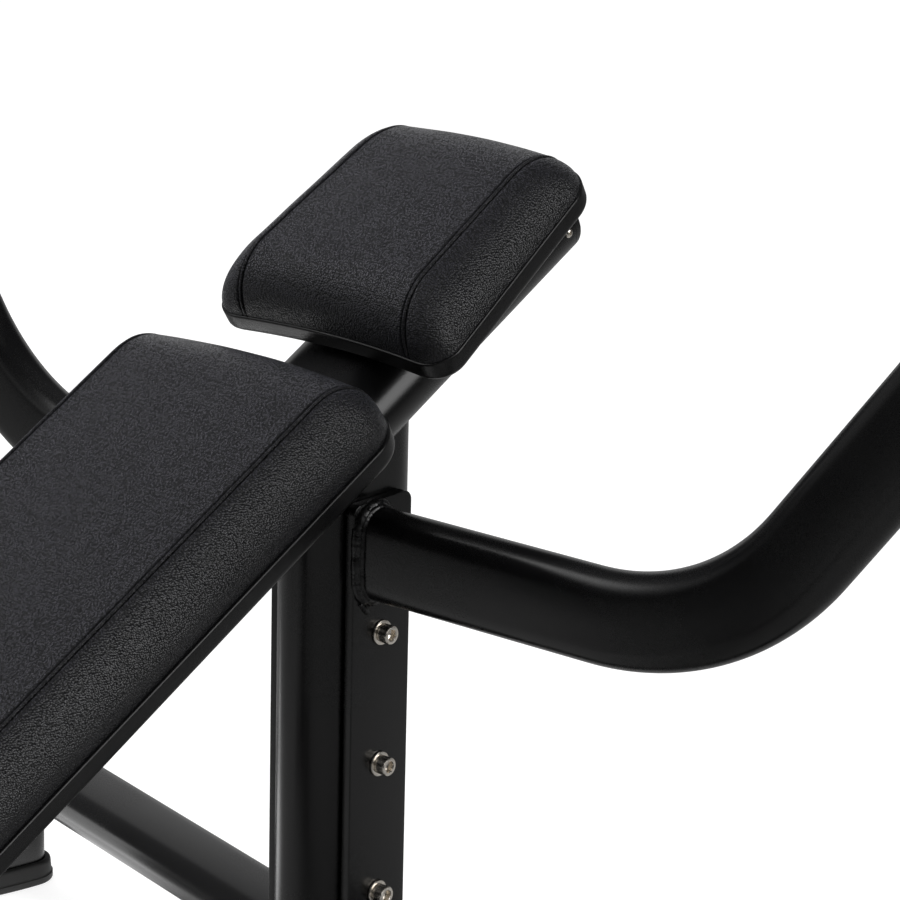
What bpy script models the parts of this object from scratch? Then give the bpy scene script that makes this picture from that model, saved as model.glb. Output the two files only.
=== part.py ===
"""Incline bench: welded flat-oval frame, bolted side wings, pads and adjustable seat.

Lengths are metres, +Z is up, +X is the bench's right side, +Y points to the head end.
The work is done about the arm plane (Y = 0 there) and every mesh is shifted once by
Y_SHIFT, so that the finished bench stands centred on the origin of the floor.
"""
import math

import bmesh
import bpy
from mathutils import Matrix, Vector

# ---- driving sizes ---------------------------------------------------------------
GAP = 0.0003                     # running clearance between neighbouring parts
WALL = 0.003                     # tube wall
Y_SHIFT = 0.37025                # moves the bench onto the middle of its own outline

MAIN_W, MAIN_T = 0.1235, 0.073    # flat-oval main tube (spine and rear post)
ARM_W, ARM_T = 0.080, 0.040      # flat-oval tube of arms, legs and crossbar
OVAL_SEGS = 8                    # segments in each rounded side of an oval

Z_ARM = 0.500                    # height of the arm axis above the floor
INCLINE = math.radians(28.0)     # slope of the spine and the back pad
SPINE_N = 0.1031                 # spine axis, measured square to the slope from the arm axis
SPINE_TOP = 0.313                # upper end of the spine along the slope
POST_Y = 0.0123                  # rear post's centre behind the arm plane
POST_BASE = 0.012

SPINE_BEND = 0.160

PLATE_T, PLATE_W = 0.009, 0.070  # side plate
PLATE_Y = 0.0106                 # centre of the plates and their screws
PLATE_TOP, PLATE_BOTTOM = Z_ARM + 0.044, 0.104
PLATE_X0 = MAIN_T / 2 + GAP
PLATE_X1 = PLATE_X0 + PLATE_T

SCREW_D, HEAD_D, HEAD_H = 0.010, 0.016, 0.010
WASHER_D, WASHER_T = 0.0215, 0.002
SCREW_Z = [Z_ARM - 0.0719 - k * 0.1163 for k in range(3)]

ARM_SWEEP = math.radians(2.72)
ARM_RUN, ARM_R, ARM_RISE = 0.223, 0.2393, math.radians(53.2)
ARM_MID, ARM_TOP = 0.1668, 1.225

LEG_Z, LEG_R = 0.140, 0.075
LEG_END = (0.5206, 0.108)        # plan position of the rubber foot
FOOT_H, FOOT_LIP, FOOT_BASE = 0.022, 0.008, 0.0117

HOOK_DROPS = (0.150, 0.040)      # bar centre at each catch, below the top of the upright
HOOK_LEVELS = tuple(ARM_TOP - drop for drop in HOOK_DROPS)
HOOK_W, BAR_REACH, CRADLE_R, LINER_T = 0.036, 0.032, 0.0175, 0.003

PAD_CROWN = 0.003
PAD_SEAM_IN, END_ROLL = 0.026, 0.055  # sewn seam inside the pad's edge, roll of the pad's ends
TRAY_H, TRAY_T = 0.018, 0.003
BACK_HALF, BACK_TOP, BACK_LEN, BACK_RISE = 0.136, 0.008, 0.620, 0.077
BACK_CORNER = 0.036
HEAD_HALF, HEAD_START, HEAD_LEN, HEAD_RISE = 0.120, 0.067, 0.236, 0.069
HEAD_TAPER = 0.065               # share of half-width gained at the low end, lost at the top
HEAD_FALL = 0.012                # how much thinner the headrest is at its top end
HEAD_TILT, HEAD_SEAM_IN, HEAD_CORNER = math.radians(3.0), 0.034, 0.028
WEDGE_HALF, WEDGE_LOW, WEDGE_HIGH = 0.040, 0.030, 0.060  # headrest bracket, from the tray's ends
SEAT_HALF, SEAT_LEN, SEAT_RISE = 0.140, 0.320, 0.077
SEAT_CORNER = 0.045
SEAT_TILT = math.radians(7.0)

FRONT_LEAD, SEAT_LEAD = 0.259636, 0.025    # front leg before the back pad's low end, seat before the leg
FRONT_Y = (BACK_TOP - BACK_LEN) * math.cos(INCLINE) - FRONT_LEAD   # vertical front leg of the spine
SEAT_Y = FRONT_Y - SEAT_LEAD

BAR_Z, BAR_LEN = 0.050, 0.460    # front crossbar
SADDLE_T = 0.008
SLEEVE, SLEEVE_Z0, SLEEVE_Z1 = 0.060, 0.086, 0.325
SEAT_TUBE_TOP, SEAT_TUBE_LEN = 0.372, 0.225
PIN_Z, PIN_D, PIN_PITCH = 0.292, 0.010, 0.025
HOLES_UNDER, HOLES_OVER = 3, 1   # holes of the seat tube below and above the pin at rest
PIN_TRAVEL = 0.009               # from drawn out to home in a hole of the seat tube


# ---- materials -------------------------------------------------------------------
def material(name, colour, metallic, roughness):
    """A plain Principled material."""
    mat = bpy.data.materials.new(name)
    mat.use_nodes = True
    shader = mat.node_tree.nodes["Principled BSDF"]
    shader.inputs["Base Color"].default_value = (*colour, 1.0)
    shader.inputs["Metallic"].default_value = metallic
    shader.inputs["Roughness"].default_value = roughness
    mat.diffuse_color = (*colour, 1.0)
    return mat


# ---- small builders --------------------------------------------------------------
def finish(name, bm, mat, smooth=40.0):
    """Turn a bmesh into a named, outward-facing, shaded object."""
    bmesh.ops.remove_doubles(bm, verts=bm.verts, dist=1e-6)
    bmesh.ops.recalc_face_normals(bm, faces=bm.faces)
    bmesh.ops.translate(bm, verts=bm.verts, vec=(0.0, Y_SHIFT, 0.0))
    if bm.calc_volume(signed=True) < 0:
        bmesh.ops.reverse_faces(bm, faces=bm.faces)
    mesh = bpy.data.meshes.new(name)
    bm.to_mesh(mesh)
    bm.free()
    obj = bpy.data.objects.new(name, mesh)
    bpy.context.scene.collection.objects.link(obj)
    shade(obj, mat, smooth)
    return obj


def shade(obj, mat, smooth):
    """Give an object its material and angle-limited smooth shading."""
    mesh = obj.data
    mesh.materials.clear()
    mesh.materials.append(mat)
    mesh.shade_smooth()
    mesh.set_sharp_from_angle(angle=math.radians(smooth))


def hang(name, place, pieces):
    """Give moving pieces an empty on their joint's axis as their parent."""
    empty = bpy.data.objects.new(name, None)
    empty.empty_display_size = 0.05
    empty.location = (place[0], place[1] + Y_SHIFT, place[2])
    bpy.context.scene.collection.objects.link(empty)
    for obj in pieces:
        obj.data.transform(Matrix.Translation(-empty.location))
        obj.parent = empty


def stadium(major, minor, segs=OVAL_SEGS):
    """Flat-oval loop of (a, b) points, a along the major axis."""
    r, c = minor / 2, (major - minor) / 2
    right = [(c + r * math.cos(t), r * math.sin(t))
             for t in (math.pi * (k / segs - 0.5) for k in range(segs + 1))]
    return right + [(-a, -b) for a, b in right]


def rounded_rect(w, h, r, segs=4):
    """Rectangle loop with rounded corners, centred on zero."""
    loop = []
    for cx, cy, start in ((1, 1, 0), (-1, 1, 90), (-1, -1, 180), (1, -1, 270)):
        for k in range(segs + 1):
            t = math.radians(start + 90.0 * k / segs)
            loop.append((cx * (w / 2 - r) + r * math.cos(t), cy * (h / 2 - r) + r * math.sin(t)))
    return loop


def circle(d, segs=18):
    """Round loop of a given diameter."""
    return [(d / 2 * math.cos(2 * math.pi * k / segs), d / 2 * math.sin(2 * math.pi * k / segs))
            for k in range(segs)]


def frame(origin, a_axis, b_axis):
    """Affine frame whose third axis is a x b."""
    a, b = Vector(a_axis).normalized(), Vector(b_axis).normalized()
    c = a.cross(b)
    return Matrix(((a.x, b.x, c.x, origin[0]), (a.y, b.y, c.y, origin[1]),
                   (a.z, b.z, c.z, origin[2]), (0, 0, 0, 1)))


def add_ring(bm, loop, mat4, lift=0.0):
    """Place a loop of (a, b) points in a frame and return its vertices."""
    return [bm.verts.new(mat4 @ Vector((a, b, lift))) for a, b in loop]


def skin(bm, rings, close=True):
    """Quads between successive rings; the first and last ring are capped if close."""
    n = len(rings[0])
    for lower, upper in zip(rings, rings[1:]):
        for k in range(n):
            bm.faces.new((lower[k], lower[(k + 1) % n], upper[(k + 1) % n], upper[k]))
    if close:
        bm.faces.new(rings[0][::-1])
        bm.faces.new(rings[-1])


def lathe(name, mat, mat4, profile, segs=18, smooth=35.0):
    """Solid of revolution about the frame's third axis from (radius, height) pairs."""
    bm = bmesh.new()
    rings = [add_ring(bm, circle(2 * r, segs), mat4, h) for r, h in profile]
    skin(bm, rings)
    return finish(name, bm, mat, smooth)


def tube_lathe(name, mat, mat4, outer, inner, segs=18, smooth=35.0):
    """Hollow solid of revolution; both profiles run the same way along the axis."""
    bm = bmesh.new()
    profile = outer + inner[::-1]
    rings = [add_ring(bm, circle(2 * r, segs), mat4, h) for r, h in profile]
    skin(bm, rings + [rings[0]], close=False)
    return finish(name, bm, mat, smooth)


def prism(name, mat, mat4, loop, depth, edge=0.0, smooth=35.0):
    """Extruded loop from lift 0 to depth, with an optional eased rim on both faces."""
    bm = bmesh.new()
    if edge:
        small = inset(loop, edge)
        levels = ((small, 0.0), (loop, edge), (loop, depth - edge), (small, depth))
    else:
        levels = ((loop, 0.0), (loop, depth))
    skin(bm, [add_ring(bm, pts, mat4, lift) for pts, lift in levels])
    return finish(name, bm, mat, smooth)


def inset(loop, amount):
    """Move every point of a counter-clockwise loop inward by an amount."""
    out, n = [], len(loop)
    for k in range(n):
        p, q, r = (Vector(loop[(k + j) % n]) for j in (-1, 0, 1))
        d1, d2 = (q - p), (r - q)
        d1, d2 = (d1.normalized() if d1.length > 1e-9 else d2.normalized()), \
            (d2.normalized() if d2.length > 1e-9 else d1.normalized())
        n1, n2 = Vector((-d1.y, d1.x)), Vector((-d2.y, d2.x))
        m = (n1 + n2).normalized()
        q = q + m * (amount / max(0.3, m.dot(n1)))
        out.append((q.x, q.y))
    return out


def cut(obj, cutters):
    """Subtract closed cutters from a body and drop them."""
    mat, smooth = obj.data.materials[0], 35.0
    for cutter in cutters:
        mod = obj.modifiers.new("cut", "BOOLEAN")
        mod.operation, mod.solver, mod.object = "DIFFERENCE", "EXACT", cutter
        bpy.context.view_layer.update()
        graph = bpy.context.evaluated_depsgraph_get()
        mesh = bpy.data.meshes.new_from_object(obj.evaluated_get(graph))
        obj.modifiers.clear()
        old, obj.data = obj.data, mesh
        name = old.name
        bpy.data.meshes.remove(old)
        mesh.name = name
        data = cutter.data
        bpy.data.objects.remove(cutter)
        bpy.data.meshes.remove(data)
    bm = bmesh.new()
    bm.from_mesh(obj.data)
    bmesh.ops.remove_doubles(bm, verts=bm.verts, dist=2e-6)
    bmesh.ops.dissolve_degenerate(bm, edges=bm.edges, dist=1e-7)
    bmesh.ops.triangulate(bm, faces=[f for f in bm.faces if len(f.verts) > 4])
    bm.to_mesh(obj.data)
    bm.free()
    shade(obj, mat, smooth)
    return obj


def rod(mat4, d, start, end, segs=12):
    """A plain cylinder used as a cutter."""
    return lathe("cutter", MATS["steel"], mat4, [(d / 2, start), (d / 2, end)], segs)


def path(points, heading, steps):
    """Planar path: lines and arcs from a start point; returns (u, v, heading) stations."""
    u, v = points
    out = [(u, v, heading)]
    for kind, value, turn, segs in steps:
        if kind == "line":
            u, v = u + value * math.cos(heading), v + value * math.sin(heading)
            out.append((u, v, heading))
            continue
        side = 1.0 if turn > 0 else -1.0
        cx, cy = u - side * value * math.sin(heading), v + side * value * math.cos(heading)
        for k in range(1, segs + 1):
            t = heading + turn * k / segs
            out.append((cx + side * value * math.sin(t), cy - side * value * math.cos(t), t))
        heading += turn
        u, v = out[-1][:2]
    return out


def bent_tube(name, mat, stations, base, run, up, loop, loop_in, upright, trim=None):
    """Hollow tube along planar stations.

    run and up span the bending plane; upright puts the oval's major axis in that plane.
    trim(point, tangent, ring) may move the first ring onto a mating plane.
    """
    run, up = Vector(run).normalized(), Vector(up).normalized()
    side = up.cross(run)
    bm = bmesh.new()
    skins = []
    for pts in (loop, loop_in):
        rings = []
        for index, (u, v, t) in enumerate(stations):
            tangent = run * math.cos(t) + up * math.sin(t)
            normal = up * math.cos(t) - run * math.sin(t)
            centre = Vector(base) + run * u + up * v
            a, b = (normal, side) if upright else (side, normal)
            places = [centre + a * p + b * q for p, q in pts]
            if trim and index in (0, len(stations) - 1):
                places = [trim(index, point, tangent) for point in places]
            rings.append([bm.verts.new(point) for point in places])
        skin(bm, rings, close=False)
        skins.append(rings)
    n = len(loop)
    for end in (0, -1):
        outer, inner = skins[0][end], skins[1][end]
        for k in range(n):
            bm.faces.new((outer[k], inner[k], inner[(k + 1) % n], outer[(k + 1) % n]))
    return finish(name, bm, mat)


def slope(s, n, x=0.0):
    """Point at distance s along and n square to the back slope."""
    return Vector((x, s * math.cos(INCLINE) - n * math.sin(INCLINE),
                   Z_ARM + s * math.sin(INCLINE) + n * math.cos(INCLINE)))


ALONG = Vector((0.0, math.cos(INCLINE), math.sin(INCLINE)))
SQUARE = Vector((0.0, -math.sin(INCLINE), math.cos(INCLINE)))
ACROSS = Vector((1.0, 0.0, 0.0))


# ---- frame -----------------------------------------------------------------------
def spine_stations():
    """Path of the spine in the (towards the front, up) plane, from its head end."""
    top = slope(SPINE_TOP, SPINE_N)
    fall = math.radians(90.0) - INCLINE
    bend_y = FRONT_Y + SPINE_BEND * (1 - math.sin(INCLINE))
    straight = (top.y - bend_y) / math.cos(INCLINE)
    foot = BAR_Z + ARM_T / 2 + SADDLE_T + 2 * GAP
    end_z = top.z - straight * math.sin(INCLINE) - SPINE_BEND * math.cos(INCLINE)
    return path((-top.y, top.z), -INCLINE,
                [("line", straight, 0, 0), ("arc", SPINE_BEND, -fall, 8),
                 ("line", end_z - foot, 0, 0)])


def build_spine():
    """Bent spine tube with its end cap and cap screws."""
    spine = bent_tube("spine", MATS["powder"], spine_stations(), (0, 0, 0), (0, -1, 0), (0, 0, 1),
                      stadium(MAIN_W, MAIN_T), stadium(MAIN_W - 2 * WALL, MAIN_T - 2 * WALL), False)
    for side in (1, -1):
        seat = frame(slope(SPINE_TOP - 0.010, SPINE_N, 0.0), ALONG * side, SQUARE)
        cut(spine, [rod(seat, 0.0046, 0.040, 0.070)])
    hub = frame(slope(SPINE_TOP + GAP, SPINE_N), ACROSS, SQUARE)
    hub = hub @ Matrix.Rotation(math.pi, 4, "Y")
    plug = stadium(MAIN_W - 2 * WALL - 2 * GAP, MAIN_T - 2 * WALL - 2 * GAP)
    face = stadium(MAIN_W, MAIN_T)
    bm = bmesh.new()
    rings = [add_ring(bm, plug, hub, -0.022), add_ring(bm, plug, hub, 0.0),
             add_ring(bm, face, hub, 0.0), add_ring(bm, face, hub, 0.005),
             add_ring(bm, inset(face, 0.0012), hub, 0.0072),
             add_ring(bm, inset(face, 0.0040), hub, 0.0085)]
    skin(bm, rings)
    cap = finish("spine_cap", bm, MATS["plastic"])
    for side, label in ((1, "right"), (-1, "left")):
        seat = frame(slope(SPINE_TOP - 0.010, SPINE_N, 0.0), ALONG * side, SQUARE)
        cut(cap, [rod(seat, 0.0042 + 2 * GAP, 0.046, 0.070)])
        x = MAIN_W / 2 + 0.00035
        lathe("cap_screw_" + label, MATS["stainless"], seat,
              [(0.0020, 0.048), (0.0020, x), (0.0042, x), (0.0042, x + 0.0010),
               (0.0034, x + 0.0022), (0.0018, x + 0.0027)], 12)


def build_post():
    """Upright rear post, coped under the spine, with its rubber foot."""
    stations = [(0.0, POST_BASE, math.pi / 2), (0.0, 0.700, math.pi / 2)]
    post = bent_tube("rear_post", MATS["powder"], stations, (0, POST_Y, 0), (0, 1, 0), (0, 0, 1),
                     stadium(MAIN_W, MAIN_T), stadium(MAIN_W - 2 * WALL, MAIN_T - 2 * WALL), True)
    grow = 2 * GAP
    cope = bmesh.new()
    rings = [add_ring(cope, stadium(MAIN_W + grow, MAIN_T + grow),
                      frame(slope(s, SPINE_N), ACROSS, SQUARE)) for s in (-0.4, 0.5)]
    skin(cope, rings)
    over = bmesh.new()
    high = frame(slope(0.05, SPINE_N + 0.005), ACROSS, ALONG)
    skin(over, [add_ring(over, rounded_rect(0.3, 0.9, 0.001, 1), high, lift) for lift in (0, 0.3)])
    cut(post, [finish("cutter", over, MATS["steel"]), finish("cutter", cope, MATS["steel"])])
    for z in SCREW_Z:
        axis = frame((0, PLATE_Y, z), (0, 1, 0), (0, 0, 1))
        cut(post, [rod(axis, SCREW_D + 2 * GAP, -0.08, 0.08)])
    shoe("post_foot", (0.0, POST_Y), (0, 1, 0), MAIN_W, MAIN_T)


def shoe(name, place, long_axis, major, minor):
    """Rubber boot on the floor: a lipped cup for the end of an oval tube."""
    a = Vector(long_axis).normalized()
    base = frame((place[0], place[1], 0.0), a, Vector((0, 0, 1)).cross(a))
    wide = stadium(major + 2 * FOOT_LIP, minor + 2 * FOOT_LIP)
    bore = stadium(major + 2 * GAP, minor + 2 * GAP)
    mouth = stadium(major + 0.003, minor + 0.003)
    levels = [(inset(wide, 0.002), 0.0), (wide, 0.002), (wide, FOOT_H - 0.003),
              (inset(wide, 0.0012), FOOT_H - 0.0008), (inset(wide, 0.003), FOOT_H),
              (mouth, FOOT_H), (bore, FOOT_H - 0.004), (bore, FOOT_BASE)]
    bm = bmesh.new()
    skin(bm, [add_ring(bm, loop, base, z) for loop, z in levels])
    return finish(name, bm, MATS["rubber"])


def build_wing(side, label):
    """Side plate with its arm and leg, screws, catches and foot."""
    centre = (side * PLATE_X0, PLATE_Y, (PLATE_TOP + PLATE_BOTTOM) / 2)
    plate_frame = frame(centre, (0, side, 0), (0, 0, 1))
    loop = rounded_rect(PLATE_W, PLATE_TOP - PLATE_BOTTOM, 0.009)
    plate = prism("side_plate_" + label, MATS["powder"], plate_frame, loop, PLATE_T, 0.0008)
    for z in SCREW_Z:
        axis = frame((0, PLATE_Y, z), (0, side, 0), (0, 0, 1))
        cut(plate, [rod(axis, SCREW_D + 2 * GAP, PLATE_X0 - 0.01, PLATE_X1 + 0.01)])
    for index, z in enumerate(SCREW_Z, 1):
        axis = frame((0, PLATE_Y, z), (0, side, 0), (0, 0, 1))
        screw(label + "_%d" % index, axis)
    build_arm(side, label)
    build_leg(side, label)


def screw(tag, axis):
    """Stainless socket-head screw and washer on the side plate."""
    x = PLATE_X1 + GAP
    r, rw = SCREW_D / 2, WASHER_D / 2
    tube_lathe("washer_" + tag, MATS["stainless"], axis,
               [(rw, x), (rw, x + WASHER_T - 0.0004), (rw - 0.0004, x + WASHER_T)],
               [(r + GAP, x), (r + GAP, x + WASHER_T)])
    y = x + WASHER_T + GAP
    socket = HEAD_D * 0.26
    bm = bmesh.new()
    rings = [add_ring(bm, circle(2 * a), axis, h) for a, h in
             ((r, y - 0.025), (r, y), (HEAD_D / 2, y),
              (HEAD_D / 2, y + HEAD_H - 0.0008), (HEAD_D / 2 - 0.0008, y + HEAD_H))]
    hexagon = []
    for k in range(18):
        t = 2 * math.pi * k / 18
        hexagon.append((socket / math.cos((t + math.pi / 6) % (math.pi / 3) - math.pi / 6), t))
    loop = [(a * math.cos(t), a * math.sin(t)) for a, t in hexagon]
    rings += [add_ring(bm, loop, axis, y + HEAD_H), add_ring(bm, loop, axis, y + HEAD_H - 0.005)]
    skin(bm, rings)
    return finish("screw_" + tag, bm, MATS["stainless"], 30.0)


def flush(side):
    """First ring of a wing tube goes onto the plate's outer face."""
    plane = side * (PLATE_X1 + GAP)

    def move(index, point, tangent):
        if index:
            return point
        return point + tangent * ((plane - point.x) / tangent.x)
    return move


def arm_stations():
    """Path of an arm from the plate to the top of its upright, about the arm axis."""
    first = path((0.0, 0.0), 0.0, [("line", ARM_RUN, 0, 0), ("arc", ARM_R, ARM_RISE, 8),
                                   ("line", ARM_MID, 0, 0),
                                   ("arc", ARM_R, math.pi / 2 - ARM_RISE, 5)])
    last = first[-1]
    return first + [(last[0], ARM_TOP - Z_ARM, math.pi / 2)]


def build_arm(side, label):
    """Bent arm and upright with its end cap, bar catches and liners."""
    run = Vector((side * math.cos(ARM_SWEEP), math.sin(ARM_SWEEP), 0.0))
    base = Vector((side * PLATE_X1, 0.0, Z_ARM))
    stations = arm_stations()
    bent_tube("arm_" + label, MATS["powder"], stations, base, run, (0, 0, 1),
              stadium(ARM_W, ARM_T), stadium(ARM_W - 2 * WALL, ARM_T - 2 * WALL), True,
              flush(side))
    reach = stations[-1][0]
    front = Vector((run.y * side, -run.x * side, 0.0))
    top = frame(base + run * reach + Vector((0, 0, ARM_TOP + GAP - Z_ARM)), run, -front * side)
    plug = stadium(ARM_W - 2 * WALL - 2 * GAP, ARM_T - 2 * WALL - 2 * GAP)
    face = stadium(ARM_W, ARM_T)
    bm = bmesh.new()
    skin(bm, [add_ring(bm, plug, top, -0.020), add_ring(bm, plug, top, 0.0),
              add_ring(bm, face, top, 0.0), add_ring(bm, face, top, 0.003),
              add_ring(bm, inset(face, 0.0014), top, 0.0052),
              add_ring(bm, inset(face, 0.0045), top, 0.0064)])
    finish("arm_cap_" + label, bm, MATS["plastic"])
    build_catch(label, base + run * reach - Vector((0, 0, Z_ARM)), run, front)


def catch_profile():
    """Outline of a two-level bar catch as (forward, height) points, and its cradles."""
    loop = [(0.0, HOOK_LEVELS[0] - 0.070)]
    thick = BAR_REACH - CRADLE_R
    for level in HOOK_LEVELS:
        if level != HOOK_LEVELS[0]:
            loop.append((thick, level - 0.062))
        loop += [(BAR_REACH + CRADLE_R - 0.004, level - 0.034),
                 (BAR_REACH + CRADLE_R + 0.010, level - 0.014),
                 (BAR_REACH + CRADLE_R + 0.011, level + 0.006),
                 (BAR_REACH + CRADLE_R + 0.007, level + 0.010),
                 (BAR_REACH + CRADLE_R + 0.002, level + 0.008)]
        loop += [(BAR_REACH + CRADLE_R * math.cos(t), level + CRADLE_R * math.sin(t))
                 for t in (math.radians(5 - 185 * k / 10) for k in range(11))]
    loop += [(thick, HOOK_LEVELS[-1] + 0.026), (thick - 0.006, HOOK_LEVELS[-1] + 0.034),
             (0.0, HOOK_LEVELS[-1] + 0.034)]
    return loop


def build_catch(label, foot, run, front):
    """Steel bar catch on the front flat of the upright, with a nylon liner per level."""
    start = foot + front * (ARM_T / 2 + GAP) - run * (HOOK_W / 2)
    seat = Matrix(((front.x, 0, run.x, start.x), (front.y, 0, run.y, start.y),
                   (front.z, 1, run.z, start.z), (0, 0, 0, 1)))
    prism("bar_catch_" + label, MATS["powder"], seat, catch_profile(), HOOK_W, 0.0, 30.0)
    outer, inner = CRADLE_R - GAP, CRADLE_R - LINER_T
    for index, level in enumerate(HOOK_LEVELS, 1):
        angles = [math.radians(4 - 182 * k / 10) for k in range(11)]
        loop = [(BAR_REACH + outer * math.cos(t), level + outer * math.sin(t)) for t in angles]
        loop += [(BAR_REACH + inner * math.cos(t), level + inner * math.sin(t))
                 for t in reversed(angles)]
        prism("catch_liner_%s_%d" % (label, index), MATS["nylon"], seat, loop, HOOK_W, 0.0, 30.0)


def build_leg(side, label):
    """Leg tube from the plate, swept rearwards and bent down into its rubber foot."""
    base = Vector((side * PLATE_X1, PLATE_Y - 0.0085, LEG_Z))
    reach = Vector((side * LEG_END[0], LEG_END[1], LEG_Z)) - base
    run = reach.normalized()
    stations = path((0.0, 0.0), 0.0, [("line", reach.length - LEG_R, 0, 0),
                                      ("arc", LEG_R, -math.pi / 2, 8)])
    stations.append((stations[-1][0], FOOT_BASE + GAP - LEG_Z, -math.pi / 2))
    bent_tube("leg_" + label, MATS["powder"], stations, base, run, (0, 0, 1),
              stadium(ARM_W, ARM_T), stadium(ARM_W - 2 * WALL, ARM_T - 2 * WALL), False,
              flush(side))
    shoe("foot_" + label, (side * LEG_END[0], LEG_END[1]), (-run.y, run.x, 0), ARM_W, ARM_T)


def build_crossbar():
    """Front crossbar with saddle plate, screws and rubber end shoes."""
    half = BAR_LEN / 2
    stations = [(-half, 0.0, 0.0), (half, 0.0, 0.0)]
    bar = bent_tube("front_crossbar", MATS["powder"], stations, (0, FRONT_Y, BAR_Z), (1, 0, 0),
                    (0, 0, 1), stadium(ARM_W, ARM_T),
                    stadium(ARM_W - 2 * WALL, ARM_T - 2 * WALL), False)
    top = BAR_Z + ARM_T / 2
    saddle = prism("saddle_plate", MATS["powder"], frame((0, FRONT_Y, top + GAP), (1, 0, 0), (0, 1, 0)),
                   rounded_rect(0.200, 0.088, 0.010), SADDLE_T, 0.0008)
    for side, label in ((1, "right"), (-1, "left")):
        axis = frame((side * 0.081, FRONT_Y, 0), (1, 0, 0), (0, 1, 0))
        cut(saddle, [rod(axis, 0.008 + 2 * GAP, top - 0.005, top + 0.02)])
        cut(bar, [rod(axis, 0.008 + 2 * GAP, top - 0.010, top + 0.01)])
        z = top + 2 * GAP + SADDLE_T
        tube_lathe("saddle_washer_" + label, MATS["stainless"], axis,
                   [(0.008, z), (0.008, z + 0.0016)], [(0.004 + GAP, z), (0.004 + GAP, z + 0.0016)], 16)
        z += 0.0016 + GAP
        lathe("saddle_screw_" + label, MATS["stainless"], axis,
              [(0.0034, z - 0.022), (0.0040, z - 0.0214), (0.0040, z), (0.0065, z),
               (0.0065, z + 0.0072), (0.0058, z + 0.0080), (0.0035, z + 0.0080),
               (0.0035, z + 0.0040)], 16)
        end_shoe(side, label)


def end_shoe(side, label):
    """Rubber block that closes and carries one end of the crossbar."""
    outer = rounded_rect(ARM_W + 0.016, BAR_Z + ARM_T / 2 + 0.006, 0.016)
    lift = (BAR_Z + ARM_T / 2 + 0.006) / 2 - BAR_Z
    wide = [(a, b + lift) for a, b in outer]
    start = frame((side * (BAR_LEN / 2 + 0.008), FRONT_Y, BAR_Z), (0, -side, 0), (0, 0, 1))
    bm = bmesh.new()
    skin(bm, [add_ring(bm, pts, start, depth) for pts, depth in
              ((inset(wide, 0.003), 0.0), (wide, 0.003), (wide, 0.048),
               (inset(wide, 0.002), 0.050))])
    block = finish("end_shoe_" + label, bm, MATS["rubber"])
    bore = bmesh.new()
    skin(bore, [add_ring(bore, stadium(ARM_W + 2 * GAP, ARM_T + 2 * GAP), start, depth)
                for depth in (0.008 - GAP, 0.060)])
    cut(block, [finish("cutter", bore, MATS["rubber"])])


# ---- pads ------------------------------------------------------------------------
def pad_point(x, y, half_w, half_l, corner):
    """Pull a point of a rectangle grid into the rounded outline."""
    a = (abs(x) - (half_w - corner)) / corner
    b = (abs(y) - (half_l - corner)) / corner
    if a > 0 and b > 0:
        a2, b2 = a * math.sqrt(1 - b * b / 2), b * math.sqrt(1 - a * a / 2)
        x = math.copysign(half_w - corner + corner * a2, x)
        y = math.copysign(half_l - corner + corner * b2, y)
    return x, y


def rolled(distance, roll):
    """Height share of a rolled edge at a distance from the outline."""
    t = min(1.0, max(0.0, distance / roll))
    return math.sqrt(1 - (1 - t) ** 2)


def cushion(name, mat4, half_w, length, height, seam_in, corner, rows, bows,
            taper=0.0, fall=0.0):
    """Upholstered pad: crowned top, rolled edges, drawn-in base and two sewn channels.

    bows are how far the middle of the low end and of the far end bulge outward.
    """
    half_l, low = length / 2, TRAY_H + 0.004
    seam = half_w - seam_in
    xs = [half_w - seam_in * f for f in (0.0, 0.05, 0.22, 0.50, 0.76)]
    xs += [seam + 0.0020, seam, seam - 0.0020] + [half_w * f for f in (0.55, 0.25)]
    xs = sorted([-x for x in xs] + [0.0] + xs)
    ys = [half_l - END_ROLL * f for f in (0.0, 0.04, 0.16, 0.38, 0.68, 1.0)]
    ys = sorted([-y for y in ys] + ys + [half_l * f for f in rows])

    def top(x, y):
        px, py = pad_point(x, y, half_w, half_l, corner)
        share = rolled(half_w - abs(x), seam_in) * rolled(half_l - abs(y), END_ROLL)
        z = low + (height - fall * (y / half_l + 1) / 2 - low) * share + PAD_CROWN * share * (1 - (px / half_w) ** 2)
        if abs(abs(x) - seam) < 1e-6:
            z -= 0.0016 * share
        bow = bows[1] if py > 0 else -bows[0]
        end = bow * (1 - (px / half_w) ** 2) * (abs(py) / half_l) ** 2
        return Vector((px * (1 - taper * py / half_l), py + end, z))

    bm = bmesh.new()
    grid = [[bm.verts.new(top(x, y)) for x in xs] for y in ys]
    for near, far in zip(grid, grid[1:]):
        for k in range(len(xs) - 1):
            bm.faces.new((near[k], near[k + 1], far[k + 1], far[k]))
    border = grid[0] + [row[-1] for row in grid[1:]] + grid[-1][-2::-1] \
        + [row[0] for row in grid[-2:0:-1]]
    flat = [(v.co.x, v.co.y) for v in border]
    rings = [border]
    for shrink, z in ((0.0012, TRAY_H + 0.0018), (0.0036, TRAY_H + GAP),
                      (0.0048, TRAY_H - 0.0030), (0.0048, TRAY_T + GAP)):
        rings.append([bm.verts.new((a, b, z)) for a, b in inset(flat, shrink)])
    skin(bm, rings, close=False)
    bm.faces.new(rings[-1])
    bm.transform(mat4)
    return finish(name, bm, MATS["leather"], 60.0), flat


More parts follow.
